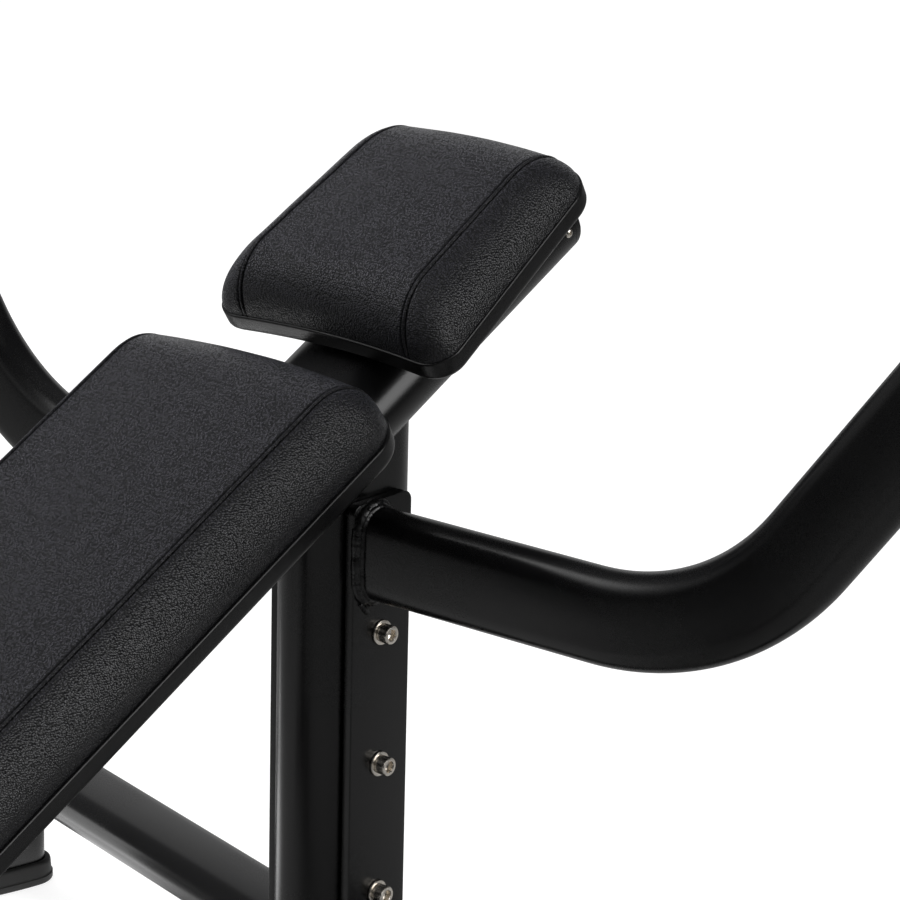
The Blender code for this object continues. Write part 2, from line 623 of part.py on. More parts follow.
def tray(name, mat4, flat):
    """Moulded tray: a floor and an upright rim round the drawn-in base of a pad."""
    out = inset(flat, -0.0010)
    levels = [(inset(out, 0.0028), 0.0), (out, 0.0026),
              (inset(out, -0.0004), TRAY_H - 0.002), (inset(out, 0.0006), TRAY_H),
              (inset(flat, 0.0032), TRAY_H), (inset(flat, 0.0048 - GAP), TRAY_H - 0.0030),
              (inset(flat, 0.0048 - GAP), TRAY_T)]
    bm = bmesh.new()
    skin(bm, [[bm.verts.new((a, b, z)) for a, b in loop] for loop, z in levels])
    bm.transform(mat4)
    return finish(name, bm, MATS["plastic"], 50.0)


def build_pads():
    """Back pad and headrest with their trays and the headrest's wedge bracket."""
    deck = SPINE_N + MAIN_T / 2 + GAP
    middle = BACK_TOP - BACK_LEN / 2
    place = frame(slope(middle, deck), ACROSS, ALONG)
    _, flat = cushion("back_cushion", place, BACK_HALF, BACK_LEN, BACK_RISE,
                      PAD_SEAM_IN, BACK_CORNER, (-0.5, 0.0, 0.5), (0.010, 0.010))
    tray("back_tray", place, flat)

    low = slope(HEAD_START, deck + 0.0025)
    along = Vector((0.0, math.cos(INCLINE + HEAD_TILT), math.sin(INCLINE + HEAD_TILT)))
    place = frame(low + along * (HEAD_LEN / 2), ACROSS, along)
    _, flat = cushion("head_cushion", place, HEAD_HALF, HEAD_LEN, HEAD_RISE,
                      HEAD_SEAM_IN, HEAD_CORNER, (0.0,), (-0.009, 0.009), HEAD_TAPER,
                      HEAD_FALL)
    tray("head_tray", place, flat)

    bm = bmesh.new()
    sides = []
    for x in (-WEDGE_HALF, WEDGE_HALF):
        loop = []
        for s in (WEDGE_LOW, HEAD_LEN - WEDGE_HIGH):
            upper = low + along * s - Vector((0, -along.z, along.y)) * GAP
            loop.append(upper + ACROSS * x)
        for s in (HEAD_LEN - WEDGE_HIGH, WEDGE_LOW):
            loop.append(slope(HEAD_START + s * math.cos(HEAD_TILT), deck, x))
        sides.append([bm.verts.new(point) for point in loop])
    skin(bm, sides)
    finish("head_wedge", bm, MATS["powder"])


# ---- seat ------------------------------------------------------------------------
def build_seat():
    """Adjustable seat: sleeve, sliding tube, bracket, pop pin, tray and cushion."""
    y = FRONT_Y - MAIN_T / 2 - GAP - SLEEVE / 2
    loop = rounded_rect(SLEEVE, SLEEVE, 0.006)
    bore = rounded_rect(SLEEVE - 2 * WALL, SLEEVE - 2 * WALL, 0.003)
    sleeve = bent_tube("seat_sleeve", MATS["powder"],
                       [(0, SLEEVE_Z0, math.pi / 2), (0, SLEEVE_Z1, math.pi / 2)], (0, y, 0),
                       (0, 1, 0), (0, 0, 1), loop, bore, True)
    side = frame((0, y, PIN_Z), (0, 1, 0), (0, 0, 1))
    cut(sleeve, [rod(side, PIN_D + 2 * GAP, SLEEVE / 2 - 0.008, SLEEVE / 2 + 0.01)])

    wide = SLEEVE - 2 * WALL - 2 * GAP
    tube = bent_tube("seat_tube", MATS["chrome"],
                     [(0, SEAT_TUBE_TOP - SEAT_TUBE_LEN, math.pi / 2),
                      (0, SEAT_TUBE_TOP, math.pi / 2)], (0, y, 0), (0, 1, 0), (0, 0, 1),
                     rounded_rect(wide, wide, 0.003 - GAP / 2),
                     rounded_rect(wide - 2 * WALL, wide - 2 * WALL, 0.001), True, slant(y))
    for k in range(-HOLES_UNDER, HOLES_OVER + 1):
        hole = frame((0, y, PIN_Z + k * PIN_PITCH), (0, 1, 0), (0, 0, 1))
        cut(tube, [rod(hole, PIN_D + 2 * GAP, wide / 2 - 0.006, wide / 2 + 0.01)])

    collar = frame((0, y, SLEEVE_Z1 + GAP), (1, 0, 0), (0, 1, 0))
    bm = bmesh.new()
    ring_out, ring_in = rounded_rect(0.068, 0.068, 0.009), rounded_rect(wide + 2 * GAP, wide + 2 * GAP, 0.003)
    rings = [add_ring(bm, pts, collar, z) for pts, z in
             ((ring_in, 0.0), (ring_out, 0.0), (ring_out, 0.008), (inset(ring_out, 0.002), 0.010),
              (ring_in, 0.010))]
    skin(bm, rings + [rings[0]], close=False)
    finish("sleeve_collar", bm, MATS["plastic"])

    hang("pin_axis", (SLEEVE / 2, y, PIN_Z), (build_pin(side, wide / 2),))
    lean = Vector((0.0, -math.cos(SEAT_TILT), math.sin(SEAT_TILT)))
    anchor = Vector((0.0, y, SEAT_TUBE_TOP + GAP))
    middle = anchor + lean * ((y - SEAT_Y) / lean.y * -1.0)
    place = frame(middle, (-1, 0, 0), lean)
    bracket = prism("seat_bracket", MATS["powder"], place, rounded_rect(0.130, 0.200, 0.012), 0.006, 0.0008)
    up = place.col[2].to_3d()
    seat = frame(middle + up * (0.006 + GAP), (-1, 0, 0), lean)
    pad, flat = cushion("seat_cushion", seat, SEAT_HALF, SEAT_LEN, SEAT_RISE,
                        PAD_SEAM_IN, SEAT_CORNER, (-0.3, 0.3), (0.008, 0.008))
    shell = tray("seat_tray", seat, flat)
    hang("seat_axis", (0.0, y, PIN_Z), (tube, bracket, pad, shell))


def slant(y):
    """Upper ring of the seat tube follows the tilted bracket."""
    def move(index, point, tangent):
        if index == 0:
            return point
        return point - Vector((0, 0, 1)) * (point.y - y) * math.tan(SEAT_TILT)
    return move


def build_pin(side, clear_of):
    """Lock-out pull pin, drawn clear of the seat tube, in its housing on the sleeve."""
    face = SLEEVE / 2 + GAP
    tube_lathe("pin_housing", MATS["steel"], side,
               [(0.0120, face), (0.0120, face + 0.010), (0.0095, face + 0.012),
                (0.0095, face + 0.028)],
               [(PIN_D / 2 + GAP, face), (PIN_D / 2 + GAP, face + 0.028)])
    start = clear_of + GAP
    knob = face + 0.028 + PIN_TRAVEL + GAP
    return lathe("pull_pin", MATS["plastic"], side,
                 [(PIN_D / 2 - 0.001, start), (PIN_D / 2, start + 0.001), (PIN_D / 2, knob),
                  (0.0100, knob), (0.0120, knob + 0.003), (0.0120, knob + 0.009),
                  (0.0175, knob + 0.013), (0.0180, knob + 0.024), (0.0140, knob + 0.031),
                  (0.0060, knob + 0.033)])


# ---- build -----------------------------------------------------------------------
def clear():
    """Empty the scene."""
    for obj in list(bpy.data.objects):
        bpy.data.objects.remove(obj)
    for block in (bpy.data.meshes, bpy.data.materials):
        for item in list(block):
            block.remove(item)


clear()
MATS = {
    "powder": material("powder_coat", (0.012, 0.012, 0.013), 0.0, 0.38),
    "stainless": material("stainless", (0.62, 0.60, 0.57), 1.0, 0.25),
    "steel": material("zinc_steel", (0.45, 0.45, 0.46), 1.0, 0.35),
    "chrome": material("hard_chrome", (0.70, 0.71, 0.72), 1.0, 0.12),
    "leather": material("leather", (0.015, 0.015, 0.017), 0.0, 0.50),
    "plastic": material("moulded_plastic", (0.016, 0.016, 0.017), 0.0, 0.45),
    "rubber": material("rubber", (0.018, 0.018, 0.018), 0.0, 0.70),
    "nylon": material("nylon", (0.020, 0.020, 0.021), 0.0, 0.50),
}
build_spine()
build_post()
build_wing(1, "right")
build_wing(-1, "left")
build_crossbar()
build_pads()
build_seat()
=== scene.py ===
"""Incline bench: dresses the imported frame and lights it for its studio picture.

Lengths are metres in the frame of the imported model: +Z is up, +X is the bench's right side
and +Y points to the head end. The sub-assemblies are drawn about the arm plane, as in the
part's own source, and each mesh is moved once onto the middle of the bench's outline.
"""
from __future__ import annotations

import logging
from dataclasses import dataclass, field
from enum import Enum
from math import copysign, cos, hypot, pi, radians, sin, sqrt, tan, tanh
from typing import Callable, Iterable, Optional, Sequence

import bmesh
import bpy
from mathutils import Matrix, Vector, noise
from mathutils.bvhtree import BVHTree

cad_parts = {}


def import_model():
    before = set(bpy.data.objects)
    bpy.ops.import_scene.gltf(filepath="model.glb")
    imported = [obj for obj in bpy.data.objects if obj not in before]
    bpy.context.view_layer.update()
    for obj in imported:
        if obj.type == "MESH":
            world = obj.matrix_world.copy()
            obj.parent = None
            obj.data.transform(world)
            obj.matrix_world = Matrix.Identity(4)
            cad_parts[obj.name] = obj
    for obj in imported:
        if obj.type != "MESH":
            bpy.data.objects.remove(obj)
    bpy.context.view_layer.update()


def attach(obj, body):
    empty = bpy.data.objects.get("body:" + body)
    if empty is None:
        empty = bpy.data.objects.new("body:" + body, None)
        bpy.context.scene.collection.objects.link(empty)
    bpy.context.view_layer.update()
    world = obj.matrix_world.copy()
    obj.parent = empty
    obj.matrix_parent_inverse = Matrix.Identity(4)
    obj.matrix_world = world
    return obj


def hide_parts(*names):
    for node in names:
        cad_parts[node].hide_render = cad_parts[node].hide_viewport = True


LOG = logging.getLogger("incline_bench")

Point = tuple[float, float]
Loop = list[Point]
Station = tuple[float, float, float]
Colour = tuple[float, float, float]
Levels = Iterable[tuple[Loop, float]]
Object = bpy.types.Object
Material = bpy.types.Material
Socket = bpy.types.NodeSocket
Trim = Callable[[int, Vector, Vector], Vector]


# ---- sizes the sub-assemblies share ------------------------------------------------
@dataclass(frozen=True)
class BenchSizes:
    """Sizes that several sub-assemblies share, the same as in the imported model."""

    shift: float = 0.37025
    gap: float = 0.0003
    wall: float = 0.003
    main_w: float = 0.1235
    main_t: float = 0.073
    arm_w: float = 0.08
    arm_t: float = 0.04
    arm_z: float = 0.5
    incline: float = radians(28.0)
    spine_n: float = 0.1031
    spine_top: float = 0.313
    post_y: float = 0.0123
    post_base: float = 0.012
    front_y: float = -0.8
    plate_t: float = 0.009
    plate_w: float = 0.07
    plate_y: float = 0.0106
    plate_top: float = 0.544
    plate_bottom: float = 0.104
    screw_drop: float = 0.0719
    screw_pitch: float = 0.1163
    arm_sweep: float = radians(2.72)
    leg_z: float = 0.14
    leg_end: Point = (0.5206, 0.108)
    bar_z: float = 0.05
    bar_len: float = 0.46
    sleeve: float = 0.06
    saddle_t: float = 0.008
    seat_tube_top: float = 0.372
    pin_z: float = 0.292
    bracket_t: float = 0.006

    @property
    def plate_x0(self) -> float:
        """Inner face of a side plate."""
        return self.main_t / 2 + self.gap

    @property
    def plate_x1(self) -> float:
        """Outer face of a side plate."""
        return self.plate_x0 + self.plate_t

    @property
    def deck(self) -> float:
        """Height of the pads' floor, square to the slope."""
        return self.spine_n + self.main_t / 2 + self.gap

    @property
    def sleeve_y(self) -> float:
        """Centre of the seat's sleeve."""
        return self.front_y - self.main_t / 2 - self.gap - self.sleeve / 2

    @property
    def flange_top(self) -> float:
        """Height of the saddle plate's upper face, with the gap over it."""
        return self.bar_z + self.arm_t / 2 + self.saddle_t + 2 * self.gap

    def slope(self, along: float, square: float, across: float = 0.0) -> Vector:
        """Point on the back slope.

        Args:
            along: distance up the slope from the arm plane.
            square: distance square to the slope.
            across: distance to the bench's right.

        Returns:
            The point about the arm plane.
        """
        c, s = cos(self.incline), sin(self.incline)
        return Vector((across, along * c - square * s, self.arm_z + along * s + square * c))


SIZES = BenchSizes()
SHIFT = Matrix.Translation((0.0, SIZES.shift, 0.0))
ACROSS = Vector((1.0, 0.0, 0.0))
UP = Vector((0.0, 0.0, 1.0))
ALONG = Vector((0.0, cos(SIZES.incline), sin(SIZES.incline)))
SQUARE = Vector((0.0, -sin(SIZES.incline), cos(SIZES.incline)))


class Side(Enum):
    """Side of the bench, as the sign of X."""

    RIGHT = 1
    LEFT = -1

    @property
    def label(self) -> str:
        """Word used in node names."""
        return self.name.lower()


# ---- loops and shells
def oval(major: float, minor: float, segs: int = 26, lean: float = 3.5, cuts: int = 12) -> Loop:
    """Flat-oval loop whose flats are slightly crowned, as rolled tube is.

    Args:
        major: width along the first axis.
        minor: thickness along the second axis.
        segs: segments in each rounded side.
        lean: slope of the crowned flat where it meets the round, in degrees.
        cuts: segments in each flat.

    Returns:
        Counter-clockwise points.
    """
    tilt = radians(lean)
    r, c = minor / 2, (major - minor) / 2
    reach = c + r * sin(tilt)
    crown = reach * tan(tilt) / 2
    high = (r - crown) / cos(tilt)
    span = pi / 2 - tilt
    half = [(c + r * cos(t), high * sin(t))
            for t in (span * (2 * k / segs - 1) for k in range(segs + 1))]
    flat = [(reach * (1 - 2 * k / cuts), r - crown * (1 - 2 * k / cuts) ** 2) for k in range(1, cuts)]
    return half + flat + [(-a, -b) for a, b in half + flat]


def rounded_rect(width: float, height: float, radius: float, segs: int = 8) -> Loop:
    """Counter-clockwise rectangle with rounded corners, centred on zero."""
    loop: Loop = []
    for cx, cy, start in ((1, 1, 0), (-1, 1, 90), (-1, -1, 180), (1, -1, 270)):
        for k in range(segs + 1):
            t = radians(start + 90.0 * k / segs)
            loop.append((cx * (width / 2 - radius) + radius * cos(t),
                         cy * (height / 2 - radius) + radius * sin(t)))
    return loop


def circle(diameter: float, segs: int = 48) -> Loop:
    """Round loop of a given diameter."""
    return [(diameter / 2 * cos(2 * pi * k / segs),
             diameter / 2 * sin(2 * pi * k / segs)) for k in range(segs)]


def hexagon(half: float, segs: int = 48) -> Loop:
    """Six-sided loop with a given half width across its flats."""
    sixth = pi / 3
    turns = [2 * pi * k / segs for k in range(segs)]
    reach = [half / cos((t + sixth / 2) % sixth - sixth / 2) for t in turns]
    return [(a * cos(t), a * sin(t)) for a, t in zip(reach, turns)]


def inset(loop: Loop, amount: float) -> Loop:
    """Move every point of a counter-clockwise loop inward.

    Args:
        loop: closed loop of points.
        amount: distance inward, negative for outward.

    Returns:
        The moved loop.
    """
    out: Loop = []
    for k in range(len(loop)):
        p, q, r = (Vector(loop[(k + j) % len(loop)]) for j in (-1, 0, 1))
        d1, d2 = q - p, r - q
        d1 = d1.normalized() if d1.length > 1e-9 else d2.normalized()
        d2 = d2.normalized() if d2.length > 1e-9 else d1
        n1, n2 = Vector((-d1.y, d1.x)), Vector((-d2.y, d2.x))
        m = (n1 + n2).normalized()
        q = q + m * (amount / max(0.3, m.dot(n1)))
        out.append((q.x, q.y))
    return out


def placed(origin: Sequence[float], a_axis: Sequence[float], b_axis: Sequence[float]) -> Matrix:
    """Frame at an origin whose third axis is a x b."""
    a, b = Vector(a_axis).normalized(), Vector(b_axis).normalized()
    c = a.cross(b)
    return Matrix(((a.x, b.x, c.x, origin[0]), (a.y, b.y, c.y, origin[1]),
                   (a.z, b.z, c.z, origin[2]), (0.0, 0.0, 0.0, 1.0)))


def bent_path(start: Point, heading: float,
              steps: Iterable[tuple[float, float, int]]) -> list[Station]:
    """Planar path of straight runs and arcs.

    Args:
        start: first point.
        heading: first direction in radians.
        steps: (length, 0, 0) for a straight run, (radius, turn, segments) for an arc.

    Returns:
        Stations of (u, v, heading).
    """
    u, v = start
    out = [(u, v, heading)]
    for size, turn, segs in steps:
        if not segs:
            u, v = u + size * cos(heading), v + size * sin(heading)
            out.append((u, v, heading))
            continue
        side = 1.0 if turn > 0 else -1.0
        cx, cy = u - side * size * sin(heading), v + side * size * cos(heading)
        for k in range(1, segs + 1):
            t = heading + turn * k / segs
            out.append((cx + side * size * sin(t), cy - side * size * cos(t), t))
        heading += turn
        u, v = out[-1][:2]
    return out


class Shell:
    """A closed mesh made ring by ring about the arm plane."""

    def __init__(self) -> None:
        """Start an empty mesh."""
        self.bm = bmesh.new()

    def ring(self, loop: Iterable[Point], base: Matrix, lift: float = 0.0) -> list:
        """Place a loop in a frame and return its vertices."""
        return [self.bm.verts.new(base @ Vector((a, b, lift))) for a, b in loop]

    def points(self, points: Iterable[Vector]) -> list:
        """Add a ring of ready points and return its vertices."""
        return [self.bm.verts.new(p) for p in points]

    def skin(self, rings: Sequence[list], caps: bool = True) -> None:
        """Join successive rings with quads.

        Args:
            rings: rings of equal length.
            caps: whether the first and last ring are closed by a face.
        """
        n = len(rings[0])
        for low, high in zip(rings, rings[1:]):
            for k in range(n):
                self.bm.faces.new((low[k], low[(k + 1) % n], high[(k + 1) % n], high[k]))
        if caps:
            self.bm.faces.new(rings[0][::-1])
            self.bm.faces.new(rings[-1])

    def rim(self, outer: list, inner: list) -> None:
        """Close the wall between two rings at the end of a tube."""
        for k in range(len(outer)):
            j = (k + 1) % len(outer)
            self.bm.faces.new((outer[k], inner[k], inner[j], outer[j]))

    def stack(self, levels: Levels, base: Matrix, endless: bool = False) -> None:
        """Skin loops that are laid at heights of a frame.

        Args:
            levels: (loop, height) pairs.
            base: frame of the loops.
            endless: whether the last loop joins the first, in place of a cap on both.
        """
        rings = [self.ring(loop, base, lift) for loop, lift in levels]
        self.skin(rings + rings[:1] if endless else rings, caps=not endless)

    def settle(self, name: str, finish: Material, sharp: float = 32.0) -> Object:
        """Close the mesh into a named object at the origin.

        Args:
            name: name of the piece.
            finish: material of the piece.
            sharp: angle in degrees above which an edge stays sharp.

        Returns:
            The new object.
        """
        bmesh.ops.remove_doubles(self.bm, verts=self.bm.verts, dist=1e-6)
        bmesh.ops.recalc_face_normals(self.bm, faces=self.bm.faces)
        bmesh.ops.translate(self.bm, verts=self.bm.verts, vec=(0.0, SIZES.shift, 0.0))
        if self.bm.calc_volume(signed=True) < 0:
            bmesh.ops.reverse_faces(self.bm, faces=self.bm.faces)
        mesh = bpy.data.meshes.new(name)
        self.bm.to_mesh(mesh)
        self.bm.free()
        mesh.materials.append(finish)
        mesh.shade_smooth()
        mesh.set_sharp_from_angle(angle=radians(sharp))
        return new_object(name, mesh)


def new_object(name: str, data: bpy.types.ID) -> Object:
    """Object of some data, linked to the scene."""
    obj = bpy.data.objects.new(name, data)
    bpy.context.scene.collection.objects.link(obj)
    return obj


def plain_mesh(obj: Object) -> bpy.types.Mesh:
    """Mesh of an object as its modifiers leave it, which are then removed."""
    bpy.context.view_layer.update()
    graph = bpy.context.evaluated_depsgraph_get()
    mesh = bpy.data.meshes.new_from_object(obj.evaluated_get(graph))
    obj.modifiers.clear()
    return mesh


def carve(obj: Object, cutter: Object) -> None:
    """Subtract a closed cutter, which is removed.

    Args:
        obj: body that is cut.
        cutter: tool body.
    """
    mod = obj.modifiers.new("cut", "BOOLEAN")
    mod.operation, mod.solver, mod.object = "DIFFERENCE", "EXACT", cutter
    mod.use_self = True
    mesh = plain_mesh(obj)
    obj.data = mesh
    bpy.data.objects.remove(cutter)
    mesh.shade_smooth()
    mesh.set_sharp_from_angle(angle=radians(30.0))


def stacked(name: str, finish: Material, base: Matrix, levels: Levels,
            sharp: float = 32.0, endless: bool = False) -> Object:
    """Piece skinned over loops that are laid at heights of a frame.

    Args:
        name: name of the piece.
        finish: its material.
        base: frame of the loops.
        levels: (loop, height) pairs.
        sharp: angle in degrees above which an edge stays sharp.
        endless: whether the last loop joins the first, in place of a cap on both.

    Returns:
        The piece.
    """
    shell = Shell()
    shell.stack(levels, base, endless)
    return shell.settle(name, finish, sharp)


def sweep(name: str, finish: Material, stations: Sequence[Station], base: Sequence[float],
          run: Vector, up: Vector, size: Point, upright: bool,
          trim: Optional[Trim] = None,
          radius: Optional[float] = None) -> Object:
    """Hollow tube along planar stations.

    Args:
        name: name of the piece.
        finish: its material.
        stations: path in the plane of run and up.
        base: origin of that plane.
        run: first direction of the plane.
        up: second direction of the plane.
        size: major and minor width of the tube.
        upright: whether the major axis lies in the plane.
        trim: moves a point of the first or last ring onto a mating face.
        radius: corner radius of a square tube, or None for a flat oval.

    Returns:
        The tube.
    """
    run, up = run.normalized(), up.normalized()
    side = up.cross(run)
    shell = Shell()
    skins = []
    for wall in (0.0, SIZES.wall):
        major, minor = size[0] - 2 * wall, size[1] - 2 * wall
        loop = oval(major, minor) if radius is None else \
            rounded_rect(major, minor, max(0.001, radius - wall))
        rings = []
        for index, (u, v, t) in enumerate(stations):
            tangent = run * cos(t) + up * sin(t)
            normal = up * cos(t) - run * sin(t)
            centre = Vector(base) + run * u + up * v
            a, b = (normal, side) if upright else (side, normal)
            spots = [centre + a * p + b * q for p, q in loop]
            if trim and index in (0, len(stations) - 1):
                spots = [trim(index, spot, tangent) for spot in spots]
            rings.append(shell.points(spots))
        shell.skin(rings, caps=False)
        skins.append(rings)
    for end in (0, -1):
        shell.rim(skins[0][end], skins[1][end])
    return shell.settle(name, finish)


def lathe(name: str, finish: Material, base: Matrix, profile: Sequence[Point],
          segs: int = 48, bore: Sequence[Point] = ()) -> Object:
    """Solid or hollow turned piece about the third axis of a frame.

    Args:
        name: name of the piece.
        finish: its material.
        base: frame of the turning axis.
        profile: (radius, height) pairs from the bottom up.
        segs: segments round the axis.
        bore: pairs of an inner wall, from the bottom up.

    Returns:
        The turned piece.
    """
    levels = [(circle(2 * r, segs), h) for r, h in [*profile, *reversed(bore)]]
    return stacked(name, finish, base, levels, 30.0, bool(bore))


def slab(name: str, finish: Material, base: Matrix, loop: Loop, depth: float,
         ease: float = 0.0009) -> Object:
    """Plate of a given outline with rounded rims on both faces.

    Args:
        name: name of the piece.
        finish: its material.
        base: frame whose third axis runs through the plate.
        loop: outline.
        depth: thickness.
        ease: radius of the rims.

    Returns:
        The plate.
    """
    rims = [(ease * (1 - sin(t)), ease * (1 - cos(t)))
            for t in (radians(a) for a in (0, 22, 45, 68, 90))]
    levels = [(inset(loop, back), lift) for back, lift in rims]
    levels += [(inset(loop, back), depth - lift) for back, lift in reversed(rims)]
    return stacked(name, finish, base, levels, 40.0)


def end_cap(name: str, finish: Material, base: Matrix, size: Point, depth: float,
            rim: float, roll: tuple[float, float, int]) -> Object:
    """Plugged cap with a rolled edge for the end of a flat-oval tube.

    Args:
        name: name of the piece.
        finish: its material.
        base: frame on the tube's end whose third axis points out of it.
        size: major and minor width of the tube.
        depth: how far the plug goes in.
        rim: height of the straight rim.
        roll: how far the edge leans in and rises, and its segments.

    Returns:
        The cap.
    """
    inner = 2 * SIZES.wall + 2 * SIZES.gap
    plug, face = oval(size[0] - inner, size[1] - inner), oval(*size)
    lean, rise, segs = roll
    levels = [(plug, -depth), (plug, 0.0), (inset(face, 0.0003), 0.0), (face, 0.0004), (face, rim)]
    levels += [(inset(face, lean * (1 - cos(t))), rim + rise * sin(t))
               for t in (radians(90 * k / segs) for k in range(1, segs + 1))]
    return stacked(name, finish, base, levels)


# ---- finishes
class NodeWriter:
    """Writes nodes and links of one node tree."""

    def __init__(self, tree: bpy.types.NodeTree) -> None:
        """Keep the tree."""
        self.tree = tree

    def fill(self, node: bpy.types.Node, *values: object, **named: object) -> bpy.types.Node:
        """Set or link the inputs of a node.

        Args:
            node: the node.
            values: inputs in order, None to leave one alone.
            named: inputs by name, an underscore for each space.

        Returns:
            The same node.
        """
        pairs = [(node.inputs[k], value) for k, value in enumerate(values) if value is not None]
        pairs += [(node.inputs[key.replace("_", " ")], value) for key, value in named.items()]
        for socket, value in pairs:
            if isinstance(value, Socket):
                self.tree.links.new(value, socket)
            else:
                socket.default_value = value
        return node

    def add(self, kind: str, settings: Optional[dict] = None, *values: object,
            **named: object) -> bpy.types.Node:
        """Add a node and fill its inputs.

        Args:
            kind: Blender's name of the node type.
            settings: properties of the node.
            values: inputs in order, None to leave one alone.
            named: inputs by name, an underscore for each space.

        Returns:
            The node.
        """
        node = self.tree.nodes.new(kind)
        for key, value in (settings or {}).items():
            setattr(node, key, value)
        return self.fill(node, *values, **named)

    def out(self, kind: str, settings: Optional[dict] = None, *values: object,
            **named: object) -> Socket:
        """First output of a new node, filled as in add."""
        return self.add(kind, settings, *values, **named).outputs[0]

    def math(self, kind: str, first: object, *others: object) -> Socket:
        """Result of a Math operation, run over one, two or more values."""
        for other in others or (0.0,):
            first = self.out("ShaderNodeMath", {"operation": kind}, first, other)
        return first

    def times(self, first: object, *others: object) -> Socket:
        """Product of values."""
        return self.math("MULTIPLY", first, *others)

    def vector(self, kind: str, *values: object, **named: object) -> Socket:
        """Vector that a Vector Math node gives."""
        return self.out("ShaderNodeVectorMath", {"operation": kind}, *values, **named)

    def measure(self, kind: str, *values: object) -> Socket:
        """Number that a Vector Math node gives."""
        return self.add("ShaderNodeVectorMath", {"operation": kind}, *values).outputs["Value"]

    def ranged(self, value: object, low: float, high: float, to_low: float = 0.0,
               to_high: float = 1.0) -> Socket:
        """Value mapped smoothly from one range to another."""
        return self.out("ShaderNodeMapRange", {"interpolation_type": "SMOOTHSTEP"},
                        value, low, high, to_low, to_high)

    def tint(self, factor: object, a: object, b: object, blend: str = "MIX") -> Socket:
        """Colour a taken to b, or blended with it."""
        ends = [(*end, 1.0) if isinstance(end, tuple) else end for end in (a, b)]
        return self.add("ShaderNodeMix", {"data_type": "RGBA", "blend_type": blend},
                        factor, *[None] * 5, *ends).outputs[2]

    def object_point(self) -> Socket:
        """Object coordinates."""
        return self.add("ShaderNodeTexCoord").outputs["Object"]

    def rays(self) -> tuple[Socket, Socket]:
        """Whether a ray comes from the eye, through glass too, and whether it is glossy."""
        path = self.add("ShaderNodeLightPath").outputs
        seen = self.math("MAXIMUM", path["Is Camera Ray"], path["Is Transmission Ray"])
        return seen, path["Is Glossy Ray"]

    def grain(self, where: object, scale: float, detail: float = 3.0,
              roughness: float = 0.5) -> Socket:
        """Noise at a number of cycles a metre."""
        return self.add("ShaderNodeTexNoise", None, Vector=where, Scale=scale, Detail=detail,
                        Roughness=roughness).outputs["Fac"]

    def cells(self, where: object, scale: float, randomness: float = 1.0) -> Socket:
        """Distance field of cells at a number of cells a metre."""
        return self.add("ShaderNodeTexVoronoi", None, Vector=where, Scale=scale,
                        Randomness=randomness).outputs["Distance"]

    def bump(self, height: object, distance: float, strength: float = 1.0,
             under: Optional[object] = None) -> Socket:
        """Normal of a height field in metres, laid over an earlier normal."""
        named = {"Strength": strength, "Distance": distance, "Height": height}
        if under is not None:
            named["Normal"] = under
        return self.out("ShaderNodeBump", None, **named)


@dataclass(frozen=True)
class Finish:
    """A procedural material, read in object coordinates."""

    name: str

    def inputs(self, w: NodeWriter, where: Socket) -> dict[str, object]:
        """Values and sockets for the shader.

        Args:
            w: writer of the material's nodes.
            where: object coordinates.

        Returns:
            Inputs by name, an underscore for each space.
        """
        raise NotImplementedError

    def around(self, w: NodeWriter, value: Socket, low: float, high: float, less: float,
               more: float) -> Socket:
        """Roughness that a pattern takes below and above the finish's own."""
        return w.ranged(value, low, high, self.roughness + less, self.roughness + more)

    def build(self) -> Material:
        """Make the material."""
        mat = bpy.data.materials.new(self.name)
        mat.use_nodes = True
        w = NodeWriter(mat.node_tree)
        w.fill(mat.node_tree.nodes["Principled BSDF"], **self.inputs(w, w.object_point()))
        return mat


@dataclass(frozen=True)
class PowderCoat(Finish):
    """Satin black powder coat with a fine orange-peel skin."""

    name: str = "satin_powder_coat"
    colour: Colour = (0.004, 0.004, 0.0043)
    light_colour: Colour = (0.0062, 0.0062, 0.0066)
    roughness: float = 0.26
    specular: float = 0.5
    peel: float = 0.00003

    def inputs(self, w: NodeWriter, where: Socket) -> dict[str, object]:
        """Slow drift of tone under two scales of peel."""
        drift, fine = w.grain(where, 9.0, 2.0), w.grain(where, 1400.0, 2.0)
        rough = w.math("ADD", self.around(w, drift, 0.35, 0.7, -0.03, 0.03),
                       w.ranged(fine, 0.3, 0.7, -0.02, 0.02))
        peel = w.math("ADD", w.grain(where, 420.0, 1.0), w.times(fine, 0.35))
        return {"Base_Color": w.tint(drift, self.colour, self.light_colour), "Roughness": rough,
                "Normal": w.bump(peel, self.peel), "Specular_IOR_Level": self.specular}


@dataclass(frozen=True)
class WeldCoat(Finish):
    """Powder coat over a weld: glossier, pitted and spattered."""

    name: str = "weld_coat"
    colour: Colour = (0.006, 0.006, 0.0065)
    worn: Colour = (0.014, 0.014, 0.0145)
    roughness: float = 0.27
    depth: float = 0.0004

    def inputs(self, w: NodeWriter, where: Socket) -> dict[str, object]:
        """Pits over an uneven skin."""
        pits, drift = w.cells(where, 520.0), w.grain(where, 210.0, 2.0)
        return {"Base_Color": w.tint(drift, self.colour, self.worn),
                "Roughness": self.around(w, drift, 0.3, 0.7, -0.08, 0.12),
                "Normal": w.bump(w.math("ADD", w.times(pits, 0.2), drift), self.depth)}


